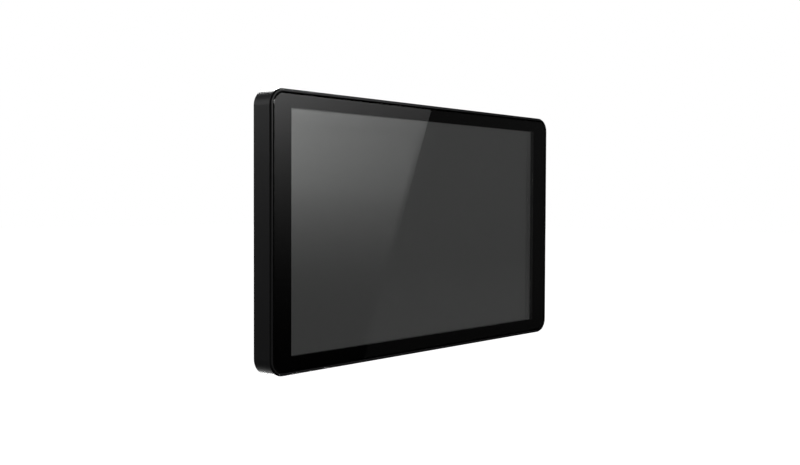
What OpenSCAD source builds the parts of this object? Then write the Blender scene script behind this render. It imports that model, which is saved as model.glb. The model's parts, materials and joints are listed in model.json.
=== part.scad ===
// Wall-mounted touch screen terminal, 21.5 inch class.
// Frame: millimetres, +X to the viewer's right, +Z up, the screen faces -Y.
// Origin: centre of the four mounting threads, on the flat rear face of the electronics box.

/* [Screen] */
// Width of the picture area
active_w = 476.06; // [380:1:700]
// Height of the picture area
active_h = 267.79; // [240:1:420]
// Body edge to picture area, left and right
side_border = 32.2; // [29:0.2:60]
// Body edge to picture area, top and bottom
end_border = 19.6; // [18:0.2:50]

/* [Body] */
// Outer corner radius of the body
corner_r = 18.5; // [16:0.5:26]
// Depth from the front rim to the back plate of the housing
body_d = 27; // [27:0.1:45]
// Thickness of the housing's side walls
wall = 2.0; // [1.5:0.1:2.6]
// Thickness of the housing's back plate
plate_t = 1.5; // [1:0.1:2.5]
// How far the housing's front edge sits behind the bezel's rim
lip_set = 2.0; // [1.2:0.1:2.4]
// Thickness of the housing's front lip
lip_t = 0.7; // [0.5:0.1:1]
// Depth of the shadow groove inside the lip
groove_d = 2.5; // [1:0.1:3]
// Body edge to the outer edge of the bezel's rim
rim_out = 1.4; // [1.2:0.1:1.9]
// Body edge to the inner edge of the bezel's rim
rim_w = 3.2; // [3:0.1:4]
// Thickness of the bezel's rim
rim_t = 1.1; // [0.6:0.1:1.6]

/* [Glass and touch] */
// Thickness of the cover glass
glass_t = 4.0; // [3:0.1:4.4]
// Rim to glass gap, filled with sealant
glass_gap = 1.6; // [0.8:0.1:2]
// Chamfer on the edges of the glass
glass_chamfer = 0.5; // [0.2:0.1:1]
// How far the glass sits below the rim
glass_recess = 0.3; // [0.1:0.1:0.6]
// Thickness of the bonding tape under the glass
tape_t = 0.5; // [0.3:0.1:0.8]
// Thickness of the touch sensor
sensor_t = 1.1; // [0.7:0.1:1.4]
// Foam gasket between the sensor and the display panel
gasket_t = 4.0; // [3:0.1:5]

/* [Display panel] */
// Panel edge past the picture area, left and right
panel_side = 9.8; // [9:0.1:11]
// Panel edge past the picture area, top and bottom
panel_end = 12.2; // [11:0.1:12.6]
// Thickness of the light guide
guide_t = 3.0; // [2:0.1:4]

/* [Electronics box] */
// Width of the box on the back
box_w = 400; // [396:1:440]
// Height of the box on the back
box_h = 200; // [198:1:240]
// Depth of the box behind the housing
box_d = 22; // [21.5:0.5:30]
// Sheet thickness of the box
sheet = 1.2; // [1:0.1:1.6]
// Corner radius of the box
box_r = 10; // [6:0.5:14]
// Width of the box's screw flange
flange_w = 10; // [9:0.5:14]
// Vent slots in each row
vent_count = 22; // [8:1:26]
// Hole spacing of the mounting threads
mount_pitch = 100; // [75, 100]
// Diameter of the mounting threads
mount_thread_d = 4; // [4:0.5:5]
// Usable depth of the mounting threads
mount_depth = 12; // [8:1:16]

/* [Controls] */
// Spacing of the push buttons
button_pitch = 16; // [14:0.5:18]
// Diameter of a push button
button_d = 6; // [5:0.2:7]
// Travel of a push button
button_travel = 0.8; // [0.4:0.1:1]
// Tilt of the power rocker either side of level
rocker_tilt = 10; // [6:1:12]

/* [Hidden] */
$fn = 64;
eps = 0.01;              // overlap that makes a cut go right through
fit = 0.1;               // clearance between pieces that only locate each other
run_fit = 0.05;          // radial clearance of a turning pin

body_w = active_w + 2 * side_border;
body_h = active_h + 2 * end_border;
total_d = body_d + box_d;

// Depths are counted from the front face of the bezel, towards the back.
glass_v = glass_recess;                      // front of the glass
seal_v = glass_v + glass_chamfer;            // front of the sealant, at the foot of the chamfer
sensor_v = glass_v + glass_t;                // back of the glass, front of the sensor
ledge_v = sensor_v + tape_t;                 // ledge that carries the glass
ledge_t = 2.0;
rim_edge_r = 0.3;
gasket_v = sensor_v + sensor_t;
panel_v = gasket_v + gasket_t;               // front of the display panel
plate_v = body_d - plate_t;                  // inner face of the back plate
inset_glass = rim_w + glass_gap;             // body edge to glass edge
inset_ledge = 13;                            // body edge to the inner edge of the ledge
ledge_open_w = body_w - 2 * inset_ledge;
ledge_open_h = body_h - 2 * inset_ledge;

// Bosses that take the bezel screws, in the gap beside the panel
boss_r = 3.5;
boss_x = body_w / 2 - wall - 1 - boss_r - 6;
boss_z = [for (k = [-1.5:1:1.5]) k * (body_h - 66) / 3];

// Display panel
panel_w = active_w + 2 * panel_side;
panel_h = active_h + 2 * panel_end;
frame_lip = 0.6;                             // sheet of the panel's front frame
frame_open = 1.2;                            // frame opening past the picture area
cell_v = panel_v + frame_lip + 0.5;
cell_t = 1.6;
mid_v = cell_v + cell_t;                     // ledge of the mid frame, behind the cell
mid_t = 1.0;
film_v = mid_v + mid_t;
film_t = 1.0;
guide_v = film_v + film_t;
reflector_v = guide_v + guide_t;
reflector_t = 0.3;
tray_v = reflector_v + reflector_t;
tray_t = 1.0;
panel_back_v = tray_v + tray_t;
led_h = 4.5;                                 // height kept for the LED strip under the light guide
panel_board_t = 1.6;

// Electronics box, in depths and heights
box_v = body_d;                              // outer face of the back plate
roof_v = total_d - sheet;                    // inner face of the box's rear wall
floor_z = -box_h / 2;                        // outer face of the box's lower wall
standoff_h = 5;
board_t = 1.6;
board_v = box_v + standoff_h;                // front face of the main board
board_top_v = board_v + board_t;             // face that carries the chips and sockets
board_w = 122;                               // main board, width and height
board_h = 126;
board_x = mount_pitch / 2 + 10;              // left edge of the main board, beside the spacers
board_z = floor_z + sheet + 1;               // lower edge of the main board
standoff_inset = 5;

m3_clear_r = 1.7;
m3_tap_r = 1.25;
m3_head_r = 2.8;
m3_head_h = 1.8;
cross_w = 0.8;
cross_l = 3.4;
cross_depth = 1.0;

// Positions of the sockets along the lower wall
audio_x = board_x + 10;
usb_x = [board_x + 26, board_x + 44];
hdmi_x = board_x + 66;
lan_x = board_x + 92;
jack_x = 12;
switch_x = -34;
button_count = 5;
button_x = [for (k = [0:button_count - 1]) -158 + k * button_pitch];
socket_axis_v = board_top_v + 2.9;           // middle of the low sockets
lan_w = 16;
lan_h = 13.3;
lan_d = 21;
lan_axis_v = board_top_v + lan_h / 2;
jack_axis_v = (box_v + roof_v) / 2;
button_axis_v = (box_v + roof_v) / 2 + 1;
socket_clear = 0.3;

// ---------- shared shapes ----------

// Flat piece parallel to the screen: a 2D shape in X and Z, from depth v to v + t
module slab(v, t) {
    translate([0, v + t - total_d, 0]) rotate([90, 0, 0]) linear_extrude(t) children();
}

// Upright round bar along the depth at x, z
module rod(x, z, v, t, r) {
    translate([x, v + t - total_d, z]) rotate([90, 0, 0]) cylinder(r = r, h = t);
}

// Box by its lowest corner x, z, depth v, and its sizes
module block(x, z, v, w, h, t) {
    translate([x, v - total_d, z]) cube([w, t, h]);
}

module rounded(w, h, r) {
    square([w - 2 * r, h], center = true);
    square([w, h - 2 * r], center = true);
    for (sx = [-1, 1], sz = [-1, 1])
        translate([sx * (w / 2 - r), sz * (h / 2 - r)]) circle(r);
}

// Sweeps a profile round a rounded rectangle. In the profile x is 0 at the outer edge and
// negative inwards, and y is minus the depth.
module sweep_round(w, h, r) {
    translate([0, -total_d, 0]) rotate([90, 0, 0])
        for (k = [0:3]) {
            a = k % 2 == 0 ? w : h;
            b = k % 2 == 0 ? h : w;
            rotate(90 * k) {
                translate([a / 2 - r, b / 2 - r, 0])
                    rotate_extrude(angle = 90) translate([r, 0]) children();
                translate([a / 2, b / 2 - r, 0])
                    rotate([90, 0, 0]) linear_extrude(b - 2 * r) children();
            }
        }
}

// Rectangle of a profile: from u1 to u2 inwards of the edge, from depth v1 to v2
module band(u1, u2, v1, v2) {
    translate([-u2, -v2]) square([u2 - u1, v2 - v1]);
}

// Flat frame with square corners
module frame_slab(v, t, w, h, open_w, open_h) {
    slab(v, t) difference() {
        square([w, h], center = true);
        square([open_w, open_h], center = true);
    }
}

// Pan-head machine screw seen from its head, which faces the back at depth v
module screw(x, z, v, length) {
    difference() {
        union() {
            rod(x, z, v, m3_head_h, m3_head_r);
            rod(x, z, v - length, length + eps, m3_tap_r);
        }
        for (a = [0, 90])
            translate([x, v + m3_head_h - total_d, z]) rotate([0, a, 0])
                cube([cross_l, 2 * cross_depth, cross_w], center = true);
    }
}

// Insulated lead: an eight-sided tube along points given as [x, depth, z], with rounded bends
function unit(v) = v / norm(v);
function bend(p, r) = [
    p[0],
    for (k = [1:len(p) - 2], t = [0:3])
        let (a = p[k] + r * unit(p[k - 1] - p[k]), b = p[k] + r * unit(p[k + 1] - p[k]), u = t / 3)
            (1 - u) * (1 - u) * a + 2 * u * (1 - u) * p[k] + u * u * b,
    p[len(p) - 1]
];
function heading(p, k) = unit(p[min(k + 1, len(p) - 1)] - p[max(k - 1, 0)]);
function sideways(p, k) = k == 0 ? unit(cross(heading(p, 0), [0.2, 1, 0.3])) :
    let (s = sideways(p, k - 1), d = heading(p, k)) unit(s - (s * d) * d);

module lead(points, r) {
    sides = 8;
    p = bend(points, 3 * r);
    n = len(p);
    ring = [for (k = [0:n - 1])
        let (s = sideways(p, k), q = cross(heading(p, k), s))
            for (j = [0:sides - 1]) p[k] + r * (cos(360 * j / sides) * s + sin(360 * j / sides) * q)];
    translate([0, -total_d, 0]) polyhedron(ring, concat(
        [[for (j = [0:sides - 1]) j]],
        [for (k = [0:n - 2], j = [0:sides - 1])
            [k * sides + j, (k + 1) * sides + j, (k + 1) * sides + (j + 1) % sides,
                k * sides + (j + 1) % sides]],
        [[for (j = [sides - 1:-1:0]) (n - 1) * sides + j]]
    ));
}

// ---------- front: glass, bezel and touch ----------

module cover_glass() {
    color([0.05, 0.05, 0.06, 0.5]) {
        w = body_w - 2 * inset_glass;
        h = body_h - 2 * inset_glass;
        r = corner_r - inset_glass;
        edge = r - 1;
        sweep_round(w, h, r)
            translate([0, -glass_v]) polygon([
                [0, -glass_chamfer], [-glass_chamfer, 0], [-edge, 0], [-edge, -glass_t],
                [-glass_chamfer, -glass_t], [0, -glass_t + glass_chamfer]
            ]);
        slab(glass_v, glass_t) rounded(w - 2 * edge + 2 * eps, h - 2 * edge + 2 * eps, r - edge);
    }
}

module glass_sealant() {
    color([0.02, 0.02, 0.02])
        sweep_round(body_w, body_h, corner_r)
            band(rim_w, inset_glass, seal_v, ledge_v);
}

module glass_tape() {
    color([0.05, 0.05, 0.05])
        sweep_round(body_w, body_h, corner_r)
            band(inset_glass + 0.6, inset_ledge - 0.5, sensor_v, ledge_v);
}

module front_bezel() {
    color([0.08, 0.08, 0.08])
    difference() {
        union() {
            sweep_round(body_w, body_h, corner_r) {
                difference() {
                    band(rim_out, rim_w, 0, rim_t);
                    for (s = [-1, 1])
                        translate([-(rim_out + rim_w) / 2 - s * ((rim_w - rim_out) / 2 - rim_edge_r),
                            -rim_edge_r])
                            mirror([s > 0 ? 1 : 0, 0]) difference() {
                                square(rim_edge_r + eps);
                                circle(rim_edge_r);
                            }
                }
                band(wall + 0.3, rim_w, rim_t - eps, ledge_v + ledge_t);
                band(rim_w - eps, inset_ledge, ledge_v, ledge_v + ledge_t);
            }
            for (sx = [-1, 1], z = boss_z)
                rod(sx * boss_x, z, ledge_v + ledge_t - eps, plate_v - ledge_v - ledge_t + eps, boss_r);
        }
        for (sx = [-1, 1], z = boss_z)
            rod(sx * boss_x, z, plate_v - 10, 10 + eps, m3_tap_r);
    }
}

module touch_sensor() {
    color([0.3, 0.3, 0.32, 0.4])
        slab(sensor_v, sensor_t) square([ledge_open_w - 14, ledge_open_h - 1.2], center = true);
}

// Flexible tail: from the back of the sensor, round the panel's side and through the back plate
tail_w = 18;
tail_t = 0.3;

module touch_tail() {
    start_x = (ledge_open_w - 14) / 2 - 3;
    out_x = panel_w / 2 + 2.4;
    color([0.75, 0.5, 0.15]) {
        block(start_x, -tail_w / 2, gasket_v, out_x - start_x, tail_w, tail_t);
        block(out_x - tail_t, -tail_w / 2, gasket_v, tail_t, tail_w, plate_v - 1 - gasket_v);
        block(touch_slot_x, -tail_w / 2, plate_v - 1 - tail_t, out_x - touch_slot_x, tail_w, tail_t);
        block(touch_slot_x, -tail_w / 2, plate_v - 1 - tail_t, tail_t, tail_w,
            touch_board_v - plate_v + 1 + tail_t);
    }
}

// ---------- display panel ----------

module panel_gasket() {
    color([0.06, 0.06, 0.06])
        frame_slab(gasket_v, gasket_t, active_w + 2 * panel_side - 4, ledge_open_h - 1.6,
            active_w + 0.4, active_h + 0.4);
}

module panel_front_frame() {
    skirt = 7;
    color([0.15, 0.15, 0.15]) {
        frame_slab(panel_v, frame_lip, panel_w, panel_h,
            active_w + 2 * frame_open, active_h + 2 * frame_open);
        frame_slab(panel_v, skirt, panel_w, panel_h, panel_w - 2 * frame_lip, panel_h - 2 * frame_lip);
    }
}

module lcd_cell() {
    color([0.22, 0.22, 0.22])
        slab(cell_v, cell_t) square([active_w + 10, active_h + 10], center = true);
}

module panel_mid_frame() {
    outer_w = panel_w - 2 * (frame_lip + 1 + fit);
    outer_h = panel_h - 2 * (frame_lip + 1 + fit);
    color([0.1, 0.1, 0.1]) {
        frame_slab(cell_v, tray_v - cell_v, outer_w, outer_h, outer_w - 3, outer_h - 3);
        frame_slab(mid_v, mid_t, outer_w - 2, outer_h - 2, active_w + 4, active_h + 4);
    }
}

module optical_films() {
    color([0.9, 0.9, 0.88])
        slab(film_v, film_t) square([active_w + 8, active_h + 8], center = true);
}

module light_guide() {
    color([0.85, 0.9, 0.92, 0.6])
        translate([0, 0, led_h / 2])
            slab(guide_v, guide_t) square([active_w + 8, active_h + 8 - led_h], center = true);
}

module reflector_sheet() {
    color([0.97, 0.97, 0.97])
        slab(reflector_v, reflector_t) square([active_w + 8, active_h + 8], center = true);
}

// Aluminium strip with its row of LEDs, under the lower edge of the light guide
module led_strip() {
    strip_z = -(active_h + 8) / 2;
    led_pitch = 14;
    led_n = floor((active_w - 10) / led_pitch);
    color([0.9, 0.9, 0.85]) {
        block(-active_w / 2, strip_z, guide_v + fit, active_w, 1.2, guide_t - 2 * fit);
        for (k = [0:led_n - 1])
            block((k - (led_n - 1) / 2) * led_pitch - 2, strip_z + 1.2 - eps, guide_v + 0.6,
                4, 1.6, guide_t - 1.2);
    }
}

module panel_back_tray() {
    outer_w = panel_w - 2 * (frame_lip + fit);
    outer_h = panel_h - 2 * (frame_lip + fit);
    color([0.72, 0.73, 0.74]) {
        slab(tray_v, tray_t) square([outer_w, outer_h], center = true);
        frame_slab(cell_v, panel_back_v - cell_v, outer_w, outer_h, outer_w - 1.6, outer_h - 1.6);
    }
}

module panel_board() {
    board_len = 260;
    color([0.1, 0.3, 0.15]) {
        block(-board_len / 2, -panel_h / 2 + 12, panel_back_v, board_len, 22, panel_board_t);
        for (x = [-80, 40])
            block(x, -panel_h / 2 + 17, panel_back_v + panel_board_t - eps, 14, 10, 1.2);
        block(-12, -panel_h / 2 + 30 - 5, panel_back_v + panel_board_t - eps, 24, 5, 2.2);
    }
}

// Two L-shaped strips that hold the panel by its sides
bracket_len = 180;
bracket_t = 1.0;
bracket_foot = 14;
bracket_screw_z = [-bracket_len / 2 + 20, bracket_len / 2 - 20];

module panel_brackets() {
    color([0.7, 0.71, 0.72])
    difference() {
        for (sx = [0, 1]) mirror([sx, 0, 0]) {
            block(panel_w / 2 + fit, -bracket_len / 2, panel_v + 4, bracket_t, bracket_len,
                plate_v - panel_v - 4);
            block(panel_w / 2 - bracket_foot, -bracket_len / 2, plate_v - bracket_t,
                bracket_foot + fit + bracket_t, bracket_len, bracket_t);
        }
        for (sx = [-1, 1], z = bracket_screw_z)
            rod(sx * (panel_w / 2 - bracket_foot / 2), z, plate_v - bracket_t - eps,
                bracket_t + 2 * eps, m3_tap_r);
        for (sx = [0, 1]) mirror([sx, 0, 0])
            block(panel_w / 2, -tail_w / 2 - 2, plate_v - bracket_t - 2, 2 * bracket_t, tail_w + 4, 2);
    }
}

module bracket_screws() {
    color([0.1, 0.1, 0.1])
        for (sx = [-1, 1], z = bracket_screw_z)
            screw(sx * (panel_w / 2 - bracket_foot / 2), z, body_d, plate_t + bracket_t);
}

// ---------- housing and rear box ----------

touch_board_w = 12;
touch_board_x = box_w / 2 - sheet - 2 - touch_board_w;
touch_slot_x = touch_board_x + 6;            // slot in the back plate for the touch tail
ribbon_w = 20;
ribbon_t = 0.6;
panel_slot_w = ribbon_w + 20;                // slot in the back plate for the panel cable
panel_slot_z = -mount_pitch / 2 + 10;        // just above the lower spacers
back_edge_r = 0.6;
lip_edge_r = 0.5;

module housing() {
    color([0.1, 0.1, 0.1])
    difference() {
        union() {
            sweep_round(body_w, body_h, corner_r) difference() {
                union() {
                    band(0, lip_t, lip_set, lip_set + groove_d + eps);
                    band(0, wall, lip_set + groove_d, body_d);
                    band(wall - eps, wall + 4, plate_v, body_d);
                }
                translate([-back_edge_r, -body_d + back_edge_r]) difference() {
                    translate([0, -back_edge_r - eps]) square(back_edge_r + eps);
                    circle(back_edge_r);
                }
                translate([-lip_edge_r, -lip_set - lip_edge_r]) difference() {
                    square(lip_edge_r + eps);
                    circle(lip_edge_r);
                }
            }
            slab(plate_v, plate_t) rounded(body_w - 2 * wall - 6, body_h - 2 * wall - 6,
                corner_r - wall - 3);
        }
        for (sx = [-1, 1], z = boss_z)
            rod(sx * boss_x, z, plate_v - eps, plate_t + 2 * eps, m3_clear_r);
        for (sx = [-1, 1], z = bracket_screw_z)
            rod(sx * (panel_w / 2 - bracket_foot / 2), z, plate_v - eps, plate_t + 2 * eps, m3_clear_r);
        for (p = cover_screw_at)
            rod(p[0], p[1], plate_v - eps, plate_t + 2 * eps, m3_tap_r + fit);
        block(touch_slot_x - 2, -tail_w / 2 - 2, plate_v - eps, 5, tail_w + 4, plate_t + 2 * eps);
        block(-panel_slot_w / 2, panel_slot_z - 4, plate_v - eps, panel_slot_w, 8, plate_t + 2 * eps);
    }
}

module bezel_screws() {
    color([0.1, 0.1, 0.1])
        for (sx = [-1, 1], z = boss_z)
            screw(sx * boss_x, z, body_d, 8);
}

spacer_r = 6;
spacer_nose_r = 4;
spacer_nose = 3;

module mount_spacers() {
    color([0.8, 0.8, 0.8])
        for (sx = [-1, 1], sz = [-1, 1])
            difference() {
                union() {
                    rod(sx * mount_pitch / 2, sz * mount_pitch / 2, box_v, box_d - sheet, spacer_r);
                    rod(sx * mount_pitch / 2, sz * mount_pitch / 2, total_d - spacer_nose,
                        spacer_nose, spacer_nose_r);
                }
                rod(sx * mount_pitch / 2, sz * mount_pitch / 2, total_d - mount_depth,
                    mount_depth + eps, mount_thread_d / 2);
            }
}

cover_screw_x = [for (k = [-2:2]) k * (box_w - 20) / 4];
cover_screw_z = box_h / 2 + flange_w / 2;
side_screw_x = box_w / 2 + flange_w / 2;
cover_screw_at = concat(
    [for (x = cover_screw_x, sz = [-1, 1]) [x, sz * cover_screw_z]],
    [for (sx = [-1, 1], z = [-30, 30]) [sx * side_screw_x, z]]
);
slot_w = 3;
slot_l = 24;
slot_pitch = 11;
grille_n = 8;
grille_pitch = 6.5;
grille_l = 24;
speaker_x = box_w / 2 - 26;
speaker_l = 60;
speaker_z = box_h / 2 - 8 - speaker_l / 2;
speaker_w = 34;
speaker_d = 15;
speaker_wall = 1.5;
speaker_magnet_h = 7.5;

// Upright slot with round ends
module slot_2d(length, width) {
    square([width, length - width], center = true);
    for (s = [-1, 1]) translate([0, s * (length - width) / 2]) circle(width / 2, $fn = 24);
}

module vent_slots() {
    for (sz = [-1, 1], k = [0:vent_count - 1])
        translate([(k - (vent_count - 1) / 2) * slot_pitch, sz * (box_h / 2 - 22)])
            slot_2d(slot_l, slot_w);
}

module speaker_slots() {
    for (sx = [-1, 1], k = [0:grille_n - 1])
        translate([sx * speaker_x, speaker_z + (k - (grille_n - 1) / 2) * grille_pitch])
            rotate(90) slot_2d(grille_l, slot_w);
}

// Cut-outs of the lower wall, each through it from outside
module wall_cut(x, v, w, d) {
    translate([x - w / 2, v - d / 2 - total_d, floor_z - 1]) cube([w, d, sheet + 2]);
}

module rear_cover() {
    out_r = 2.4;
    color([0.09, 0.09, 0.09])
    difference() {
        union() {
            sweep_round(box_w, box_h, box_r) difference() {
                union() {
                    band(0, sheet, box_v, total_d);
                    band(sheet - eps, box_r - 1, roof_v, total_d);
                }
                translate([-out_r, -total_d + out_r]) difference() {
                    translate([0, -out_r - eps]) square(out_r + eps);
                    circle(out_r);
                }
            }
            slab(roof_v, sheet) rounded(box_w - 2 * box_r + 4, box_h - 2 * box_r + 4, 2);
            sweep_round(box_w + 2 * flange_w, box_h + 2 * flange_w, box_r + flange_w)
                band(0, flange_w + sheet / 2, box_v, box_v + sheet);
        }
        slab(roof_v - eps, sheet + 2 * eps) {
            vent_slots();
            speaker_slots();
        }
        for (sx = [-1, 1], sz = [-1, 1])
            rod(sx * mount_pitch / 2, sz * mount_pitch / 2, roof_v - eps, sheet + 2 * eps,
                spacer_nose_r + fit);
        for (p = cover_screw_at)
            rod(p[0], p[1], box_v - eps, sheet + 2 * eps, m3_clear_r);
        wall_cut(hdmi_x, socket_axis_v, 15 + 2 * socket_clear, 5.8 + 2 * socket_clear);
        for (x = usb_x)
            wall_cut(x, socket_axis_v, 13.2 + 2 * socket_clear, 5.8 + 2 * socket_clear);
        wall_cut(lan_x, lan_axis_v, lan_w + 2 * socket_clear, lan_h + 2 * socket_clear);
        wall_cut(switch_x, jack_axis_v, switch_hole_w, switch_hole_d);
        translate([audio_x, socket_axis_v - total_d, floor_z - 1])
            cylinder(r = 3 + socket_clear, h = sheet + 2);
        translate([jack_x, jack_axis_v - total_d, floor_z - 1])
            cylinder(r = jack_thread_r + fit, h = sheet + 2);
        for (x = button_x)
            translate([x, button_axis_v - total_d, floor_z - 1])
                cylinder(r = button_d / 2 + 0.2, h = sheet + 2);
    }
}

module cover_screws() {
    color([0.1, 0.1, 0.1])
        for (p = cover_screw_at) screw(p[0], p[1], box_v + sheet, sheet + plate_t);
}

// ---------- main board and what it carries ----------

standoff_at = [for (x = [board_x + standoff_inset, board_x + board_w - standoff_inset],
        z = [board_z + 28, board_z + board_h - standoff_inset]) [x, z]];

module main_board() {
    color([0.05, 0.25, 0.12])
    difference() {
        block(board_x, board_z, board_v, board_w, board_h, board_t);
        for (p = standoff_at) rod(p[0], p[1], board_v - eps, board_t + 2 * eps, m3_clear_r);
    }
}

module board_standoffs() {
    color([0.75, 0.65, 0.35])
        for (p = standoff_at) difference() {
            rod(p[0], p[1], box_v, standoff_h, 3, $fn = 6);
            rod(p[0], p[1], box_v + 1, standoff_h, m3_tap_r + fit);
        }
}

module board_screws() {
    color([0.75, 0.75, 0.75])
        for (p = standoff_at) screw(p[0], p[1], board_top_v, 4.5);
}

chip_x = board_x + 52;
chip_z = board_z + 74;
chip_w = 23;
chip_t = 1.6;
pad_t = 0.5;
sink_w = 48;
sink_base = 2;
sink_h = 9;
sink_fins = 9;

module processor() {
    color([0.12, 0.12, 0.12])
        block(chip_x - chip_w / 2, chip_z - chip_w / 2, board_top_v, chip_w, chip_w, chip_t);
}

module thermal_pad() {
    color([0.55, 0.65, 0.75])
        block(chip_x - chip_w / 2, chip_z - chip_w / 2, board_top_v + chip_t, chip_w, chip_w, pad_t);
}

module heat_sink() {
    sink_v = board_top_v + chip_t + pad_t;
    color([0.15, 0.15, 0.16]) {
        block(chip_x - sink_w / 2, chip_z - sink_w / 2, sink_v, sink_w, sink_w, sink_base);
        for (k = [0:sink_fins - 1])
            block(chip_x - sink_w / 2 + k * (sink_w - 1.2) / (sink_fins - 1), chip_z - sink_w / 2,
                sink_v + sink_base - eps, 1.2, sink_w, sink_h - sink_base);
    }
}

module memory_chips() {
    color([0.1, 0.1, 0.1])
        for (x = [board_x + 12, board_x + 84, board_x + 98], z = [board_z + 62, board_z + 80])
            block(x, z, board_top_v, 9, 13, 1.2);
}

module board_capacitors() {
    color([0.3, 0.3, 0.35])
        for (x = [board_x + 14:11:board_x + 36], z = [board_z + 112])
            rod(x, z, board_top_v, 8, 3.2);
}

module clock_battery() {
    color([0.8, 0.8, 0.8])
        rod(board_x + 92, board_z + 110, board_top_v, 3.4, 10);
}

// Plugs on the main board, each as [x, z, width, height] from the board's lower left corner
power_plug = [2, 32, 10, 10];
light_plug = [2, panel_slot_z + ribbon_w + 6.2 - board_z, 6, 8];
button_plug = [2, 16, 6, 7];
speaker_plug = [58, 118, 12, 7];
touch_plug = [106, 44, 8, 8];
panel_plug_h = 2.8;

module board_connectors() {
    color([0.9, 0.88, 0.8]) {
        for (p = [light_plug, button_plug, speaker_plug, touch_plug])
            block(board_x + p[0], board_z + p[1], board_top_v, p[2], p[3], 4.4);
        block(board_x + power_plug[0], board_z + power_plug[1], board_top_v, power_plug[2],
            power_plug[3], 7);
        block(board_x + 2, panel_slot_z - ribbon_t, board_top_v, 5, ribbon_w, panel_plug_h);
    }
}

// Metal socket shell with its tongue, opening downwards at the wall
module low_socket(x, w, d, depth, tongue_w, tongue_d, tongue_at) {
    shell = 0.35;
    bottom = floor_z;
    translate([x, socket_axis_v - total_d, bottom]) {
        difference() {
            translate([-w / 2, -d / 2, 0]) cube([w, d, depth]);
            translate([-w / 2 + shell, -d / 2 + shell, -1])
                cube([w - 2 * shell, d - 2 * shell, depth]);
        }
        translate([-tongue_w / 2, tongue_at, 1]) cube([tongue_w, tongue_d, depth - 1.5]);
    }
}

module hdmi_socket() {
    color([0.7, 0.7, 0.7]) low_socket(hdmi_x, 15, 5.8, 11, 11.4, 1.0, -0.3);
}

module usb_sockets() {
    color([0.7, 0.7, 0.7])
        for (x = usb_x) low_socket(x, 13.2, 5.8, 14, 11.2, 1.8, -1.9);
}

lan_open_w = 11.8;
lan_open_h = 7.0;
lan_open_d = 12.5;

module lan_socket() {
    color([0.68, 0.68, 0.68])
        translate([lan_x, lan_axis_v - total_d, floor_z]) difference() {
            translate([-lan_w / 2, -lan_h / 2, 0]) cube([lan_w, lan_h, lan_d]);
            translate([-lan_open_w / 2, -lan_open_h / 2, -1]) cube([lan_open_w, lan_open_h, lan_open_d + 1]);
            translate([-3, lan_open_h / 2 - eps, -1]) cube([6, 2.4, lan_open_d + 1]);
        }
}

module audio_socket() {
    color([0.08, 0.08, 0.08])
        translate([audio_x, socket_axis_v - total_d, floor_z]) difference() {
            union() {
                cylinder(r = 3, h = 3);
                translate([-3.5, -2.8, sheet + 0.4]) cube([7, 5.6, 12]);
            }
            translate([0, 0, -1]) cylinder(r = 1.8, h = 12);
        }
}

jack_thread_r = 4;
jack_nut_r = 6.4;
jack_l = 14;                                 // threaded body, from the wall's outer face

module power_socket() {
    color([0.07, 0.07, 0.07])
        translate([jack_x, jack_axis_v - total_d, floor_z]) {
            difference() {
                union() {
                    translate([0, 0, -1.6]) cylinder(r = 5.5, h = 1.6);
                    translate([0, 0, -eps]) cylinder(r = jack_thread_r, h = jack_l + eps);
                }
                translate([0, 0, -2]) cylinder(r = 2.85, h = 12);
            }
            translate([0, 0, 1]) cylinder(r = 1.05, h = 12);
        }
}

module power_socket_nut() {
    color([0.75, 0.75, 0.75])
        translate([jack_x, jack_axis_v - total_d, floor_z + sheet]) difference() {
            cylinder(r = jack_nut_r, h = 2.2, $fn = 6);
            translate([0, 0, -1]) cylinder(r = jack_thread_r + 0.02, h = 4.2);
        }
}

// ---------- power switch ----------

switch_w = 21;                               // flange, along the wall
switch_d = 15;
switch_hole_w = 19.2;
switch_hole_d = 13.2;
switch_body_h = 15;
rocker_w = 14.6;
rocker_d = 9.4;
pivot_r = 1.3;
pivot_up = 2.4;                              // pivot above the wall's outer face
well_clear = 0.35;

module at_switch() {
    translate([switch_x, jack_axis_v - total_d, floor_z]) children();
}

module switch_body() {
    flange_t = 1.8;
    color([0.06, 0.06, 0.06]) at_switch() difference() {
        union() {
            translate([-switch_w / 2, -switch_d / 2, -flange_t]) cube([switch_w, switch_d, flange_t]);
            translate([-switch_hole_w / 2 + fit, -switch_hole_d / 2 + fit, -eps])
                cube([switch_hole_w - 2 * fit, switch_hole_d - 2 * fit, switch_body_h]);
        }
        translate([-rocker_w / 2 - 0.7, -rocker_d / 2 - well_clear, -flange_t - 1])
            cube([rocker_w + 1.4, rocker_d + 2 * well_clear, flange_t + 1 + 9]);
        translate([0, 0, pivot_up]) rotate([90, 0, 0])
            cylinder(r = pivot_r + run_fit, h = rocker_d + 2.6, center = true);
    }
}

// The rocker's face: two flats that meet in a shallow valley over the pivot
module rocker_profile() {
    half = rocker_w / 2;
    rise = 2.2;
    face = -pivot_up - 2.3;
    intersection() {
        polygon([
            [-half, face - rise], [0, face], [half, face - rise],
            [half - 0.8, 3.0], [2.5, 4.6], [-2.5, 4.6], [-half + 0.8, 3.0]
        ]);
        circle(r = half + 0.15);
    }
}

module switch_rocker() {
    color([0.05, 0.05, 0.05])
        at_switch() translate([0, 0, pivot_up]) rotate([0, rocker_tilt, 0]) {
            rotate([90, 0, 0]) linear_extrude(rocker_d, center = true) rocker_profile();
            rotate([90, 0, 0]) cylinder(r = pivot_r, h = rocker_d + 2, center = true);
        }
}

terminal_pitch = 5.5;
terminal_h = 7;

module switch_terminals() {
    color([0.85, 0.75, 0.5])
        at_switch() for (k = [-1, 0, 1])
            translate([k * terminal_pitch - 0.4, -2.4, switch_body_h - eps])
                cube([0.8, 4.8, terminal_h + eps]);
}

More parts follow.
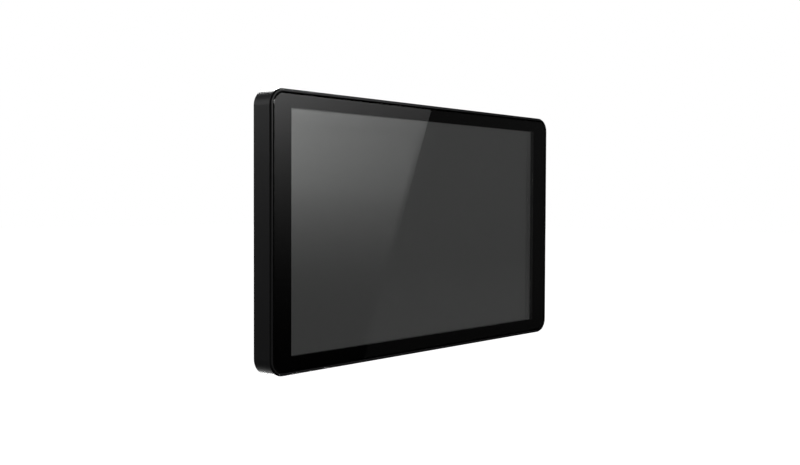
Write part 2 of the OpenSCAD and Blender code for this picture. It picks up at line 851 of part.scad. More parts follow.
// Leads from the socket to the switch and on to the main board
module power_leads() {
    lead_r = 0.9;
    v = jack_axis_v;
    terminal_z = floor_z + switch_body_h + terminal_h;
    socket_z = floor_z + jack_l;
    plug_x = board_x + power_plug[0];
    color([0.6, 0.1, 0.1]) {
        lead([[switch_x + terminal_pitch, v, terminal_z], [switch_x + terminal_pitch, v, terminal_z + 8],
            [jack_x - 2, v, terminal_z + 8], [jack_x - 2, v, socket_z]], lead_r);
        lead([[switch_x, v, terminal_z], [switch_x, v, board_z + power_plug[1] + 7],
            [plug_x, v, board_z + power_plug[1] + 7]], lead_r);
        lead([[jack_x + 2, v, socket_z], [jack_x + 2, v, board_z + power_plug[1] + 3],
            [plug_x, v, board_z + power_plug[1] + 3]], lead_r);
    }
}

// ---------- smaller boards, cables and speakers ----------

backlight_x = -150;

module backlight_board() {
    color([0.05, 0.25, 0.12]) {
        block(backlight_x, 10, box_v + 4, 82, 46, 1.6);
        for (x = [10, 32, 54]) block(backlight_x + x, 26, box_v + 5.6 - eps, 12, 12, 6);
        for (x = [4, 76], z = [14, 52]) rod(backlight_x + x, z, box_v, 4 + eps, 2);
    }
}

touch_board_v = box_v + 4;

module touch_board() {
    color([0.05, 0.2, 0.3]) {
        block(touch_board_x, -30, touch_board_v, touch_board_w, 60, 1.6);
        block(touch_board_x + 3, -12, touch_board_v + 1.6 - eps, 6, 6, 1);
        block(touch_board_x + 3, 6, touch_board_v + 1.6 - eps, 6, 14, 1);
        for (z = [-26, 26]) rod(touch_board_x + touch_board_w / 2, z, box_v, touch_board_v - box_v + eps, 2);
    }
}

// Ribbon from the panel's board, through the back plate, folded towards the main board
module panel_cable() {
    top_v = panel_back_v + panel_board_t + 2.2;
    start_z = -panel_h / 2 + 27;
    rise_x = board_x - 3;
    plug_v = board_top_v + panel_plug_h;
    color([0.85, 0.85, 0.8]) {
        block(-ribbon_w / 2, start_z, top_v, ribbon_w, panel_slot_z - start_z, ribbon_t);
        block(-ribbon_w / 2, panel_slot_z - ribbon_t, top_v, ribbon_w, ribbon_t, box_v + ribbon_t - top_v);
        block(-ribbon_w / 2, panel_slot_z - ribbon_t, box_v, rise_x + ribbon_w / 2, ribbon_w, ribbon_t);
        block(rise_x - ribbon_t, panel_slot_z - ribbon_t, box_v, ribbon_t, ribbon_w, plug_v - box_v);
        block(rise_x - ribbon_t, panel_slot_z - ribbon_t, plug_v, 10, ribbon_w, ribbon_t);
    }
}

module speaker_boxes() {
    t = speaker_wall;
    front = roof_v - 0.4;
    color([0.12, 0.12, 0.12])
        for (sx = [-1, 1]) difference() {
            block(sx * speaker_x - speaker_w / 2, speaker_z - speaker_l / 2, front - speaker_d,
                speaker_w, speaker_l, speaker_d);
            block(sx * speaker_x - speaker_w / 2 + t, speaker_z - speaker_l / 2 + t,
                front - speaker_d + t, speaker_w - 2 * t, speaker_l - 2 * t, speaker_d - 2 * t);
            rod(sx * speaker_x, speaker_z, front - t - eps, t + 2 * eps, 14);
        }
}

module speaker_cones() {
    front = roof_v - 0.4;
    color([0.1, 0.1, 0.1])
        for (sx = [-1, 1]) translate([sx * speaker_x, front - 1.5 - total_d, speaker_z])
            rotate([90, 0, 0]) rotate_extrude()
                polygon([[0, 3.2], [6, 3.6], [10.5, 1.2], [12, 0.6], [14.6, 0.02], [14.6, 0.6],
                    [12, 1.2], [10.5, 1.8], [6, 4.2], [0, 4.2]]);
}

module speaker_magnets() {
    front = roof_v - 0.4;
    color([0.3, 0.3, 0.3])
        for (sx = [-1, 1])
            rod(sx * speaker_x, speaker_z, front - speaker_d + speaker_wall, speaker_magnet_h, 8);
}

// Thin leads that lie on the back plate and rise to their plugs on the main board
module signal_leads() {
    r = 0.8;
    low = box_v + r + fit;                   // centre of a lead that lies on the plate
    plug = board_top_v + 2.4;                // centre of a lead where it enters a plug
    run_z = box_h / 2 - 40;                  // stretch above the upper spacers
    in_x = board_x + 2;
    speaker_in = speaker_x - speaker_w / 2;
    color([0.8, 0.1, 0.1]) {
        lead([[-speaker_in, plug, run_z], [-speaker_in + 8, plug, run_z], [-speaker_in + 15, low, run_z],
            [board_x + speaker_plug[0] + 3, low, run_z], [board_x + speaker_plug[0] + 3, low, run_z - 14],
            [board_x + speaker_plug[0] + 3, plug, run_z - 24],
            [board_x + speaker_plug[0] + 3, plug, board_z + speaker_plug[1] + speaker_plug[3]]], r);
        lead([[speaker_in, plug, run_z - 16], [board_x + speaker_plug[0] + 9, plug, run_z - 16],
            [board_x + speaker_plug[0] + 9, plug, board_z + speaker_plug[1] + speaker_plug[3]]], r);
        lead([[backlight_x + 78, box_v + 5.6 + r, 30], [backlight_x + 88, box_v + 5.6 + r, 30],
            [backlight_x + 96, low, 30], [board_x - 16, low, 30],
            [board_x - 16, low, board_z + light_plug[1] + 4],
            [board_x - 11, low, board_z + light_plug[1] + 4],
            [board_x - 4, plug, board_z + light_plug[1] + 4], [in_x, plug, board_z + light_plug[1] + 4]], r);
        lead([[backlight_x + 50, low, 10], [backlight_x + 50, low, panel_slot_z - 2.5],
            [-16, low, panel_slot_z - 2.5], [-16, panel_back_v + panel_board_t + r, panel_slot_z - 2.5],
            [-16, panel_back_v + panel_board_t + r, -panel_h / 2 + 28]], r);
        lead([[button_x[0] + button_board_w - 7, button_axis_v, tact_z + tact_h + 0.8],
            [button_x[0] + button_board_w, button_axis_v, tact_z + tact_h + 0.8],
            [button_x[0] + button_board_w + 4, low, floor_z + 26], [board_x - 14, low, floor_z + 26],
            [board_x - 7, plug, board_z + button_plug[1] + 4],
            [in_x, plug, board_z + button_plug[1] + 4]], r);
        lead([[touch_board_x + 5, touch_board_v + 1.6 + r, -24],
            [touch_board_x + 5, touch_board_v + 1.6 + r, -34],
            [touch_board_x + 5, plug, board_z + touch_plug[1] + 4],
            [board_x + touch_plug[0] + touch_plug[2], plug, board_z + touch_plug[1] + 4]], r);
    }
}

antenna_z = box_h / 2 - 16;

module antenna() {
    color([0.05, 0.05, 0.05]) block(-40, antenna_z, box_v, 46, 9, 0.8);
}

module antenna_lead() {
    r = 0.6;
    top = board_z + board_h;
    color([0.2, 0.2, 0.2])
        lead([[2, box_v + 0.8 + r, antenna_z + 4], [board_x + 10, box_v + 0.8 + r, antenna_z + 4],
            [board_x + 10, box_v + 4, box_h / 2 - 30], [board_x + 10, box_v + 4, box_h / 2 - 48],
            [board_x + 10, board_top_v + 2, top + 2], [board_x + 10, board_top_v + r, top - 8]], r);
}

// ---------- push buttons ----------

cap_out = 1.6;                               // cap past the wall at rest
cap_flange_r = button_d / 2 + 1.2;
cap_flange_t = 1.0;
stem_r = 1.5;
tact_h = 3.4;
tact_z = floor_z + sheet + cap_flange_t + button_travel + 3;

module button_cap(k) {
    color([0.05, 0.05, 0.05])
        translate([button_x[k], button_axis_v - total_d, floor_z]) {
            translate([0, 0, -cap_out]) cylinder(r = button_d / 2, h = cap_out + sheet + eps);
            translate([0, 0, sheet + 0.05]) cylinder(r = cap_flange_r, h = cap_flange_t);
            translate([0, 0, sheet]) cylinder(r = stem_r, h = tact_z - floor_z - sheet + 0.2);
        }
}

module button_power() { button_cap(0); }
module button_source() { button_cap(1); }
module button_menu() { button_cap(2); }
module button_down() { button_cap(3); }
module button_up() { button_cap(4); }

module tact_switches() {
    color([0.15, 0.15, 0.15])
        for (x = button_x) translate([x, button_axis_v - total_d, tact_z]) difference() {
            translate([-3, -3, 0]) cube([6, 6, tact_h]);
            translate([0, 0, -1]) cylinder(r = stem_r + 0.1, h = 1 + button_travel + 0.8);
        }
}

button_board_w = (button_count - 1) * button_pitch + 14;
button_board_d = 10;

module button_board() {
    color([0.05, 0.25, 0.12])
        translate([button_x[0] - 7, button_axis_v - button_board_d / 2 - total_d, tact_z + tact_h])
            cube([button_board_w, button_board_d, 1.6]);
}

// Folded bracket on the back plate that carries the button board
module button_bracket() {
    color([0.7, 0.71, 0.72])
        translate([button_x[0] - 7, box_v - total_d, tact_z + tact_h + 1.6]) {
            cube([button_board_w, button_axis_v + button_board_d / 2 - box_v, 1]);
            cube([button_board_w, 1, 12]);
        }
}

cover_glass();
glass_sealant();
glass_tape();
front_bezel();
touch_sensor();
touch_tail();
panel_gasket();
panel_front_frame();
lcd_cell();
panel_mid_frame();
optical_films();
light_guide();
reflector_sheet();
led_strip();
panel_back_tray();
panel_board();
panel_brackets();
bracket_screws();
housing();
bezel_screws();
mount_spacers();
rear_cover();
cover_screws();
main_board();
board_standoffs();
board_screws();
processor();
thermal_pad();
heat_sink();
memory_chips();
board_capacitors();
clock_battery();
board_connectors();
hdmi_socket();
usb_sockets();
lan_socket();
audio_socket();
power_socket();
power_socket_nut();
switch_body();
switch_rocker();
switch_terminals();
power_leads();
backlight_board();
touch_board();
panel_cable();
speaker_boxes();
speaker_cones();
speaker_magnets();
signal_leads();
antenna();
antenna_lead();
button_board();
button_bracket();
tact_switches();
button_power();
button_source();
button_menu();
button_down();
button_up();
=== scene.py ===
import json
import math

import bmesh
import bpy
from mathutils import Matrix, Vector


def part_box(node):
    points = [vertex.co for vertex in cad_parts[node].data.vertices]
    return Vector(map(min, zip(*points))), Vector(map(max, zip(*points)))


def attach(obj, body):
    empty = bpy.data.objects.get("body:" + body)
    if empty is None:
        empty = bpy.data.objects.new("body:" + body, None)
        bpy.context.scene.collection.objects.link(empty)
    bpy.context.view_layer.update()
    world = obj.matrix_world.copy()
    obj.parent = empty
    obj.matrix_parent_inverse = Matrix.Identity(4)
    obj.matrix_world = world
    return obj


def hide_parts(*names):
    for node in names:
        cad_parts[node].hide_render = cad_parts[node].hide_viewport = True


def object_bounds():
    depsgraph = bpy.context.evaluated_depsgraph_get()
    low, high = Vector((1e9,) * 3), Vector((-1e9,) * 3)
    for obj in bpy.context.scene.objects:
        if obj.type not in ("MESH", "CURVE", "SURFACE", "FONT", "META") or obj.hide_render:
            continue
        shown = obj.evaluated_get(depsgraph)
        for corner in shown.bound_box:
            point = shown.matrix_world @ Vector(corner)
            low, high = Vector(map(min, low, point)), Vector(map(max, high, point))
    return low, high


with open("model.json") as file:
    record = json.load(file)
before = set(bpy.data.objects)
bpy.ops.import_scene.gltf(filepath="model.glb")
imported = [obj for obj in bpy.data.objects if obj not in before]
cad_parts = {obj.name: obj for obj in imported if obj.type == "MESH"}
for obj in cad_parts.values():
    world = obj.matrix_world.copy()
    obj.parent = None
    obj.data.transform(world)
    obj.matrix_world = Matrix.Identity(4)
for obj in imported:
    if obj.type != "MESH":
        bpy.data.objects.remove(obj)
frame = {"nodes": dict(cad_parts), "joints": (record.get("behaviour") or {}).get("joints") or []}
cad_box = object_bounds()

cad = frame["nodes"]
MM = 0.001


# ---------------------------------------------------------------- camera and studio
# The unit hangs level in a white studio. The camera stands a metre and a quarter away to its
# left, near screen height, so the whole screen and the left side wall show.
camera_data = bpy.data.cameras.new("camera")
camera_data.lens = 46.12
camera_data.sensor_width = 36.0
camera_data.clip_start = 0.01
camera = bpy.data.objects.new("camera", camera_data)
bpy.context.scene.collection.objects.link(camera)
camera_turn = math.radians(49.95)    # to the right of the unit's own front-to-back line
camera_dip = math.radians(-1.72)
camera_roll = math.radians(0.224)
camera.matrix_world = (
    Matrix.Translation((-1.0053, -0.8439, 0.0336))
    @ Matrix.Rotation(-camera_turn, 4, "Z")
    @ Matrix.Rotation(math.pi / 2 + camera_dip, 4, "X")
    @ Matrix.Rotation(camera_roll, 4, "Z")
)
bpy.context.scene.camera = camera
bpy.context.scene.view_settings.view_transform = "Standard"


def feed(tree, socket, value):
    """Puts a plain value or another node's output into a socket."""
    if isinstance(value, bpy.types.NodeSocket):
        tree.links.new(value, socket)
    else:
        socket.default_value = value


def calc(tree, operation, *values):
    """A Math node over plain numbers and outputs; gives its output."""
    step = tree.nodes.new("ShaderNodeMath")
    step.operation = operation
    for socket, value in zip(step.inputs, values):
        feed(tree, socket, value)
    return step.outputs[0]


# White to the camera; what the unit reflects is a dim room, darkest below and lighter overhead.
studio = bpy.data.worlds.new("studio")
bpy.context.scene.world = studio
studio.use_nodes = True
room_tree = studio.node_tree
room_tree.nodes.clear()
backdrop = room_tree.nodes.new("ShaderNodeBackground")
backdrop.inputs["Color"].default_value = (1, 1, 1, 1)
room = room_tree.nodes.new("ShaderNodeBackground")
seen = room_tree.nodes.new("ShaderNodeLightPath")
either = room_tree.nodes.new("ShaderNodeMixShader")
room_end = room_tree.nodes.new("ShaderNodeOutputWorld")
heading = room_tree.nodes.new("ShaderNodeTexCoord")
heading_parts = room_tree.nodes.new("ShaderNodeSeparateXYZ")
feed(room_tree, heading_parts.inputs[0], heading.outputs["Generated"])
room_shade = room_tree.nodes.new("ShaderNodeValToRGB")
stops = room_shade.color_ramp.elements
stops[0].position = 0.42
stops[0].color = (0.034, 0.034, 0.034, 1)
stops[1].position = 1.0
stops[1].color = (0.30, 0.30, 0.30, 1)
for height, level in ((0.438, 0.030), (0.455, 0.040), (0.47, 0.043), (0.50, 0.047), (0.56, 0.062),
                      (0.66, 0.070), (0.86, 0.050)):
    stop = stops.new(height)
    stop.color = (level, level, level, 1)
feed(room_tree, room_shade.inputs[0], calc(room_tree, "MULTIPLY_ADD", heading_parts.outputs["Z"], 0.5, 0.5))
feed(room_tree, room.inputs["Color"], room_shade.outputs[0])
feed(room_tree, either.inputs[0], seen.outputs["Is Camera Ray"])
feed(room_tree, either.inputs[1], room.outputs[0])
feed(room_tree, either.inputs[2], backdrop.outputs[0])
feed(room_tree, room_end.inputs["Surface"], either.outputs[0])


def flat_sheet(name, corners):
    """A flat four-cornered mesh."""
    mesh = bpy.data.meshes.new(name)
    mesh.from_pydata([tuple(c) for c in corners], [], [(0, 1, 2, 3)])
    thing = bpy.data.objects.new(name, mesh)
    bpy.context.scene.collection.objects.link(thing)
    return thing


# Plain white floor, far below the unit; it glows so that it stays even, and lights nothing.
floor_z = -0.9
floor_reach = 30
floor = flat_sheet("floor", [(-floor_reach, -floor_reach, floor_z), (floor_reach, -floor_reach, floor_z),
                             (floor_reach, floor_reach, floor_z), (-floor_reach, floor_reach, floor_z)])
floor_white = bpy.data.materials.new("floor_white")
floor_white.use_nodes = True
floor_shader = floor_white.node_tree.nodes["Principled BSDF"]
floor_shader.inputs["Base Color"].default_value = (0.9, 0.9, 0.9, 1)
floor_shader.inputs["Roughness"].default_value = 0.9
floor_shader.inputs["Emission Color"].default_value = (1, 1, 1, 1)
floor_shader.inputs["Emission Strength"].default_value = 1.0
floor.data.materials.append(floor_white)
floor.visible_diffuse = False
floor.visible_glossy = False
floor.visible_transmission = False

# A tall soft light panel stands to the right front, where the glass mirrors it to the camera.
# It makes the slanted glare: brightest at the top left, fading down and to the right, and cut
# off along the panel's leaning right edge.
panel_turn = math.radians(50)
panel_out = 1.8
panel_low, panel_high, panel_far = -0.6, 0.9, -0.9
panel_slant = 0.266                   # how far its right edge leans over, per metre of height
panel_edge = -0.029
light_panel = flat_sheet("light_panel", [
    (panel_far, panel_low, 0),
    (panel_edge + panel_slant * panel_low, panel_low, 0),
    (panel_edge + panel_slant * panel_high, panel_high, 0),
    (panel_far, panel_high, 0),
])
panel_across = Vector((math.cos(panel_turn), math.sin(panel_turn), 0))
panel_away = Vector((math.sin(panel_turn), -math.cos(panel_turn), 0))
panel_frame = Matrix((panel_across, (0, 0, 1), panel_away)).transposed().to_4x4()
panel_middle = panel_away * panel_out + Vector((0, cad_box[0][1], 0))
light_panel.matrix_world = Matrix.Translation(panel_middle) @ panel_frame
panel_glow = bpy.data.materials.new("panel_glow")
panel_glow.use_nodes = True
panel_tree = panel_glow.node_tree
panel_tree.nodes.clear()
panel_end = panel_tree.nodes.new("ShaderNodeOutputMaterial")
panel_light = panel_tree.nodes.new("ShaderNodeEmission")
panel_place = panel_tree.nodes.new("ShaderNodeTexCoord")
panel_parts = panel_tree.nodes.new("ShaderNodeSeparateXYZ")
feed(panel_tree, panel_parts.inputs[0], panel_place.outputs["Object"])
panel_height = panel_parts.outputs["Y"]
# The glow's logarithm: its level at the middle, how it rises and bends with height, and how it
# falls off to the right, faster higher up.
glow_level, glow_rise, glow_bend = -2.08, 5.5, -2.6
glow_right, glow_right_high = -1.16, -2.5
glow_cap = 0.35
up_slope = calc(panel_tree, "MULTIPLY_ADD", panel_height, glow_bend, glow_rise)
log_up = calc(panel_tree, "MULTIPLY_ADD", panel_height, up_slope, glow_level)
across_slope = calc(panel_tree, "MULTIPLY_ADD", panel_height, glow_right_high, glow_right)
log_all = calc(panel_tree, "MULTIPLY_ADD", panel_parts.outputs["X"], across_slope, log_up)
capped = calc(panel_tree, "MINIMUM", log_all, glow_cap)
feed(panel_tree, panel_light.inputs["Strength"], calc(panel_tree, "EXPONENT", capped))
feed(panel_tree, panel_end.inputs["Surface"], panel_light.outputs[0])
light_panel.data.materials.append(panel_glow)
light_panel.visible_camera = False
light_panel.visible_diffuse = False


def soft_lamp(name, place, aim, width, height, watts):
    """A soft rectangular lamp at a place, turned to a point."""
    lamp = bpy.data.lights.new(name, "AREA")
    lamp.shape = "RECTANGLE"
    lamp.size = width
    lamp.size_y = height
    lamp.energy = watts
    holder = bpy.data.objects.new(name, lamp)
    bpy.context.scene.collection.objects.link(holder)
    holder.location = place
    holder.rotation_euler = (Vector(aim) - Vector(place)).to_track_quat("-Z", "Y").to_euler()
    holder.visible_camera = False


soft_lamp("top_lamp", (-0.3, 0.2, 1.9), (0, 0, 0), 1.4, 0.8, 8)
soft_lamp("side_lamp", (-1.07, 0.87, 0.50), (-0.27, -0.02, 0.05), 0.6, 0.5, 1.35)
soft_lamp("low_lamp", (-0.13, 0.58, -0.68), (-0.27, -0.02, -0.13), 0.4, 0.3, 0.45)
soft_lamp("front_lamp", (-1.8, -1.7, 1.3), (0, 0, 0), 0.9, 0.9, 18)
soft_lamp("back_lamp", (1.3, 2.0, 1.4), (0, 0, 0), 1.2, 1.2, 120)
soft_lamp("under_lamp", (0.35, 0.6, -0.72), (0, 0, -0.08), 0.5, 0.3, 7)


# ---------------------------------------------------------------- housing
# The tray that holds everything: aluminium sheet, folded and welded at the corners, sprayed
# with a fine satin black powder coat. Eight screws through its back plate hold the bezel.
def new_group(name, takes, gives):
    """An empty shader group with named sockets; takes lists (name, kind, value)."""
    tree = bpy.data.node_groups.new(name, "ShaderNodeTree")
    for label, kind, value in takes:
        socket = tree.interface.new_socket(name=label, in_out="INPUT", socket_type=kind)
        if value is not None:
            socket.default_value = value
    for label, kind in gives:
        tree.interface.new_socket(name=label, in_out="OUTPUT", socket_type=kind)
    first = tree.nodes.new("NodeGroupInput")
    last = tree.nodes.new("NodeGroupOutput")
    return tree, first.outputs, last.inputs


# Grain: a fine noise with a slow cloud over it, in object space. It spreads the colour and the
# roughness and gives a height for a bump.
grain, g_in, g_out = new_group(
    "grain",
    [("Vector", "NodeSocketVector", None), ("Size", "NodeSocketFloat", 0.4),
     ("Color", "NodeSocketColor", (0.1, 0.1, 0.1, 1)), ("Color Spread", "NodeSocketFloat", 0.2),
     ("Roughness", "NodeSocketFloat", 0.4), ("Roughness Spread", "NodeSocketFloat", 0.1)],
    [("Color", "NodeSocketColor"), ("Roughness", "NodeSocketFloat"), ("Height", "NodeSocketFloat")],
)
fine = grain.nodes.new("ShaderNodeTexNoise")
fine.inputs["Detail"].default_value = 3.0
feed(grain, fine.inputs["Vector"], g_in["Vector"])
feed(grain, fine.inputs["Scale"], calc(grain, "DIVIDE", 1.0 / MM, g_in["Size"]))
cloud = grain.nodes.new("ShaderNodeTexNoise")
cloud.inputs["Scale"].default_value = 14.0
cloud.inputs["Detail"].default_value = 3.0
feed(grain, cloud.inputs["Vector"], g_in["Vector"])
swing = calc(grain, "SUBTRACT", calc(grain, "ADD", fine.outputs["Fac"], cloud.outputs["Fac"]), 1.0)
tinted = grain.nodes.new("ShaderNodeVectorMath")
tinted.operation = "SCALE"
feed(grain, tinted.inputs[0], g_in["Color"])
feed(grain, tinted.inputs["Scale"], calc(grain, "MULTIPLY_ADD", swing, g_in["Color Spread"], 1.0))
feed(grain, g_out["Color"], tinted.outputs[0])
grain_roughness = calc(grain, "MULTIPLY_ADD", swing, g_in["Roughness Spread"], g_in["Roughness"])
feed(grain, g_out["Roughness"], grain_roughness)
feed(grain, g_out["Height"], fine.outputs["Fac"])

# Edge: 1 along sharp and rounded edges, broken up by noise, for rubbed paint and bright metal.
edge, e_in, e_out = new_group(
    "edge",
    [("Vector", "NodeSocketVector", None), ("Width", "NodeSocketFloat", 0.5)],
    [("Mask", "NodeSocketFloat")],
)
rounded = edge.nodes.new("ShaderNodeBevel")
rounded.samples = 4
feed(edge, rounded.inputs["Radius"], calc(edge, "MULTIPLY", e_in["Width"], MM))
facing = edge.nodes.new("ShaderNodeNewGeometry")
bent = edge.nodes.new("ShaderNodeVectorMath")
bent.operation = "DOT_PRODUCT"
feed(edge, bent.inputs[0], rounded.outputs[0])
feed(edge, bent.inputs[1], facing.outputs["Normal"])
on_edge = edge.nodes.new("ShaderNodeMapRange")
on_edge.inputs["From Min"].default_value = 0.995
on_edge.inputs["From Max"].default_value = 0.90
feed(edge, on_edge.inputs["Value"], bent.outputs["Value"])
scuff = edge.nodes.new("ShaderNodeTexNoise")
scuff.inputs["Scale"].default_value = 90.0
scuff.inputs["Detail"].default_value = 4.0
feed(edge, scuff.inputs["Vector"], e_in["Vector"])
scuffed = edge.nodes.new("ShaderNodeMapRange")
scuffed.inputs["From Min"].default_value = 0.42
scuffed.inputs["From Max"].default_value = 0.68
feed(edge, scuffed.inputs["Value"], scuff.outputs["Fac"])
feed(edge, e_out["Mask"], calc(edge, "MULTIPLY", on_edge.outputs[0], scuffed.outputs[0]))


def placed(tree, group, **values):
    """Places a group in a material, with values for its inputs by name."""
    box = tree.nodes.new("ShaderNodeGroup")
    box.node_tree = group
    for label, value in values.items():
        feed(tree, box.inputs[label.replace("_", " ")], value)
    return box.outputs


def mixed(tree, share, under, over):
    """Mixes two colours by a share; gives the mixed colour."""
    mix = tree.nodes.new("ShaderNodeMix")
    mix.data_type = "RGBA"
    feed(tree, mix.inputs["Factor"], share)
    feed(tree, mix.inputs["A"], under)
    feed(tree, mix.inputs["B"], over)
    return mix.outputs["Result"]


def object_place(tree, stretch=(1, 1, 1)):
    """Object coordinates, stretched along some axis where a finish is brushed or drawn."""
    place = tree.nodes.new("ShaderNodeTexCoord")
    scaled = tree.nodes.new("ShaderNodeVectorMath")
    scaled.operation = "MULTIPLY"
    scaled.inputs[1].default_value = stretch
    feed(tree, scaled.inputs[0], place.outputs["Object"])
    return scaled.outputs[0]


def relief(tree, height, depth):
    """Bumps a material's shader by a height, depth in mm."""
    bump = tree.nodes.new("ShaderNodeBump")
    bump.inputs["Distance"].default_value = depth * MM
    feed(tree, bump.inputs["Height"], height)
    feed(tree, tree.nodes["Principled BSDF"].inputs["Normal"], bump.outputs["Normal"])


def finish(name, colour, roughness, size=0.4, spread=0.2, rough_spread=0.12, bump=0.0, metallic=0.0,
           stretch=(1, 1, 1), rubbed=None, edge_width=0.5, specular=0.5, coat=0.0):
    """A grained finish. size is the grain and bump its height, in mm; rubbed is the colour that
    shows through along worn edges; stretch draws the grain out along an axis."""
    made = bpy.data.materials.new(name)
    made.use_nodes = True
    tree = made.node_tree
    shader = tree.nodes["Principled BSDF"]
    place = object_place(tree, stretch)
    texture = placed(tree, grain, Vector=place, Size=size, Color=(*colour, 1), Color_Spread=spread,
                     Roughness=roughness, Roughness_Spread=rough_spread)
    surface = texture["Color"]
    if rubbed:
        worn = placed(tree, edge, Vector=place, Width=edge_width)
        surface = mixed(tree, worn["Mask"], surface, (*rubbed, 1))
    feed(tree, shader.inputs["Base Color"], surface)
    feed(tree, shader.inputs["Roughness"], texture["Roughness"])
    shader.inputs["Metallic"].default_value = metallic
    shader.inputs["Specular IOR Level"].default_value = specular
    shader.inputs["Coat Weight"].default_value = coat
    if bump:
        relief(tree, texture["Height"], bump)
    return made


def dress(made, *nodes):
    """Gives CAD nodes a material."""
    for node in nodes:
        thing = cad[node]
        if not thing.material_slots:
            thing.data.materials.append(made)
        for slot in thing.material_slots:
            slot.material = made


def paint_in_shade(made, side, level):
    """Paints shade into a finish: dead black where Y is on one side of a level, LESS_THAN or GREATER_THAN.
    """
    tree = made.node_tree
    shader = tree.nodes["Principled BSDF"]
    parts = tree.nodes.new("ShaderNodeSeparateXYZ")
    feed(tree, parts.inputs[0], object_place(tree))
    black = calc(tree, side, parts.outputs["Y"], level)
    surface = shader.inputs["Base Color"].links[0].from_socket
    polish = shader.inputs["Roughness"].links[0].from_socket
    feed(tree, shader.inputs["Base Color"], mixed(tree, black, surface, (0.001, 0.001, 0.001, 1)))
    feed(tree, shader.inputs["Roughness"], calc(tree, "MAXIMUM", polish, black))


powder_black = finish("powder_black", (0.017, 0.017, 0.018), 0.42, size=0.35, spread=0.25,
                      rough_spread=0.12, bump=0.012, rubbed=(0.045, 0.045, 0.047), edge_width=0.5)
# The thin front edge of the lip is painted black as painted shade, like the groove beside it.
lip_painted_shade = 0.15 * MM
paint_in_shade(powder_black, "LESS_THAN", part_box("housing")[0].y + lip_painted_shade)
dress(powder_black, "housing")


# ---------------------------------------------------------------- shadow groove
# A thin bead of black foam lies in the groove between the housing's lip and the bezel. It is a
# dark piece put there as painted shade, so that the groove reads as a fine black line.
groove_shade_foam = finish("groove_shade_foam", (0.002, 0.002, 0.002), 0.95, size=0.5, spread=0.3, bump=0.05,
                     specular=0.0)


def rounded_outline(w, h, r, steps):
    """Points of a rounded rectangle about the origin, in X and Z."""
    points = []
    for sx, sz, start in ((1, 1, 0), (-1, 1, 90), (-1, -1, 180), (1, -1, 270)):
        for k in range(steps + 1):
            a = math.radians(start + 90 * k / steps)
            points.append((sx * (w / 2 - r) + r * math.cos(a), sz * (h / 2 - r) + r * math.sin(a)))
    return points


def piece(name, shape, made, body="display"):
    """Turns a built shape into an object with its finish, riding on a body."""
    bmesh.ops.recalc_face_normals(shape, faces=shape.faces)
    mesh = bpy.data.meshes.new(name)
    shape.to_mesh(mesh)
    shape.free()
    mesh.materials.append(made)
    thing = bpy.data.objects.new(name, mesh)
    bpy.context.scene.collection.objects.link(thing)
    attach(thing, body)
    return thing


def loop_ring(shape, loops):
    """Joins outlines, each a list of (x, y, z) as long as the others, into a closed ring."""
    rows = [[shape.verts.new(point) for point in outline] for outline in loops]
    count = len(rows[0])
    for a, row in enumerate(rows):
        after = rows[(a + 1) % len(rows)]
        for k in range(count):
            shape.faces.new((row[k], row[(k + 1) % count], after[(k + 1) % count], after[k]))


body_w = cad_box[1][0] - cad_box[0][0]
body_h = cad_box[1][2] - cad_box[0][2]
front_y = cad_box[0][1]
corner_r = 18.5 * MM
lip_t = 0.7 * MM                      # the housing's front lip
groove_in = 2.3 * MM                  # body edge to the bezel's own wall
groove_floor = 4.5 * MM               # depth of the groove's floor behind the rim
bead_w = groove_in - lip_t - 0.1 * MM
bead_high = 0.8 * MM
bead = bmesh.new()
bead_loops = []
for step in range(9):
    turn = math.pi * step / 8
    inset = (lip_t + groove_in) / 2 - bead_w / 2 * math.cos(turn)
    depth = groove_floor - bead_high * math.sin(turn)
    outline = rounded_outline(body_w - 2 * inset, body_h - 2 * inset, corner_r - inset, 10)
    bead_loops.append([(x, front_y + depth, z) for x, z in outline])
loop_ring(bead, bead_loops)
piece("groove_shade_bead", bead, groove_shade_foam)


# ---------------------------------------------------------------- front bezel
# A slim aluminium frame whose rim stands a little proud of the glass, sprayed a smoother black
# than the housing. Black silicone fills the gap to the glass; foam tape carries the glass.
bezel_black = finish("bezel_black", (0.028, 0.028, 0.029), 0.23, size=0.3, spread=0.2, rough_spread=0.08,
                     bump=0.005, rubbed=(0.06, 0.06, 0.062), edge_width=0.15)
# Its wall is painted black below the rim, as painted shade, so the groove stays dark.
shade_start_behind_rim = 0.65 * MM
paint_in_shade(bezel_black, "GREATER_THAN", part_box("front_bezel")[0].y + shade_start_behind_rim)
dress(bezel_black, "front_bezel")
silicone_black = finish("silicone_black", (0.0015, 0.0015, 0.0015), 0.9, size=1.5, spread=0.3, bump=0.02,
                        specular=0.0)
dress(silicone_black, "glass_sealant")
foam_black = finish("foam_black", (0.006, 0.006, 0.006), 0.95, size=0.25, spread=0.4, bump=0.06,
                    specular=0.2)
dress(foam_black, "glass_tape", "panel_gasket")


# ---------------------------------------------------------------- cover glass
# Four millimetres of toughened glass with chamfered, ground edges. Black ceramic ink on its
# back frames a window the size of the picture.
glass = bpy.data.materials.new("toughened_glass")
glass.use_nodes = True
glass_tree = glass.node_tree
glass_shader = glass_tree.nodes["Principled BSDF"]
glass_shader.inputs["Base Color"].default_value = (0.975, 0.978, 0.976, 1)
glass_shader.inputs["IOR"].default_value = 1.5
glass_shader.inputs["Transmission Weight"].default_value = 1.0
smears = placed(glass_tree, grain, Vector=object_place(glass_tree, (1, 1, 0.5)), Size=40.0,
                Roughness=0.004, Roughness_Spread=0.008)
feed(glass_tree, glass_shader.inputs["Roughness"], smears["Roughness"])
lamp_ray = glass_tree.nodes.new("ShaderNodeLightPath")
let_through = glass_tree.nodes.new("ShaderNodeBsdfTransparent")
let_through.inputs["Color"].default_value = (0.85, 0.85, 0.85, 1)
glass_or_lamp = glass_tree.nodes.new("ShaderNodeMixShader")
feed(glass_tree, glass_or_lamp.inputs[0], lamp_ray.outputs["Is Shadow Ray"])
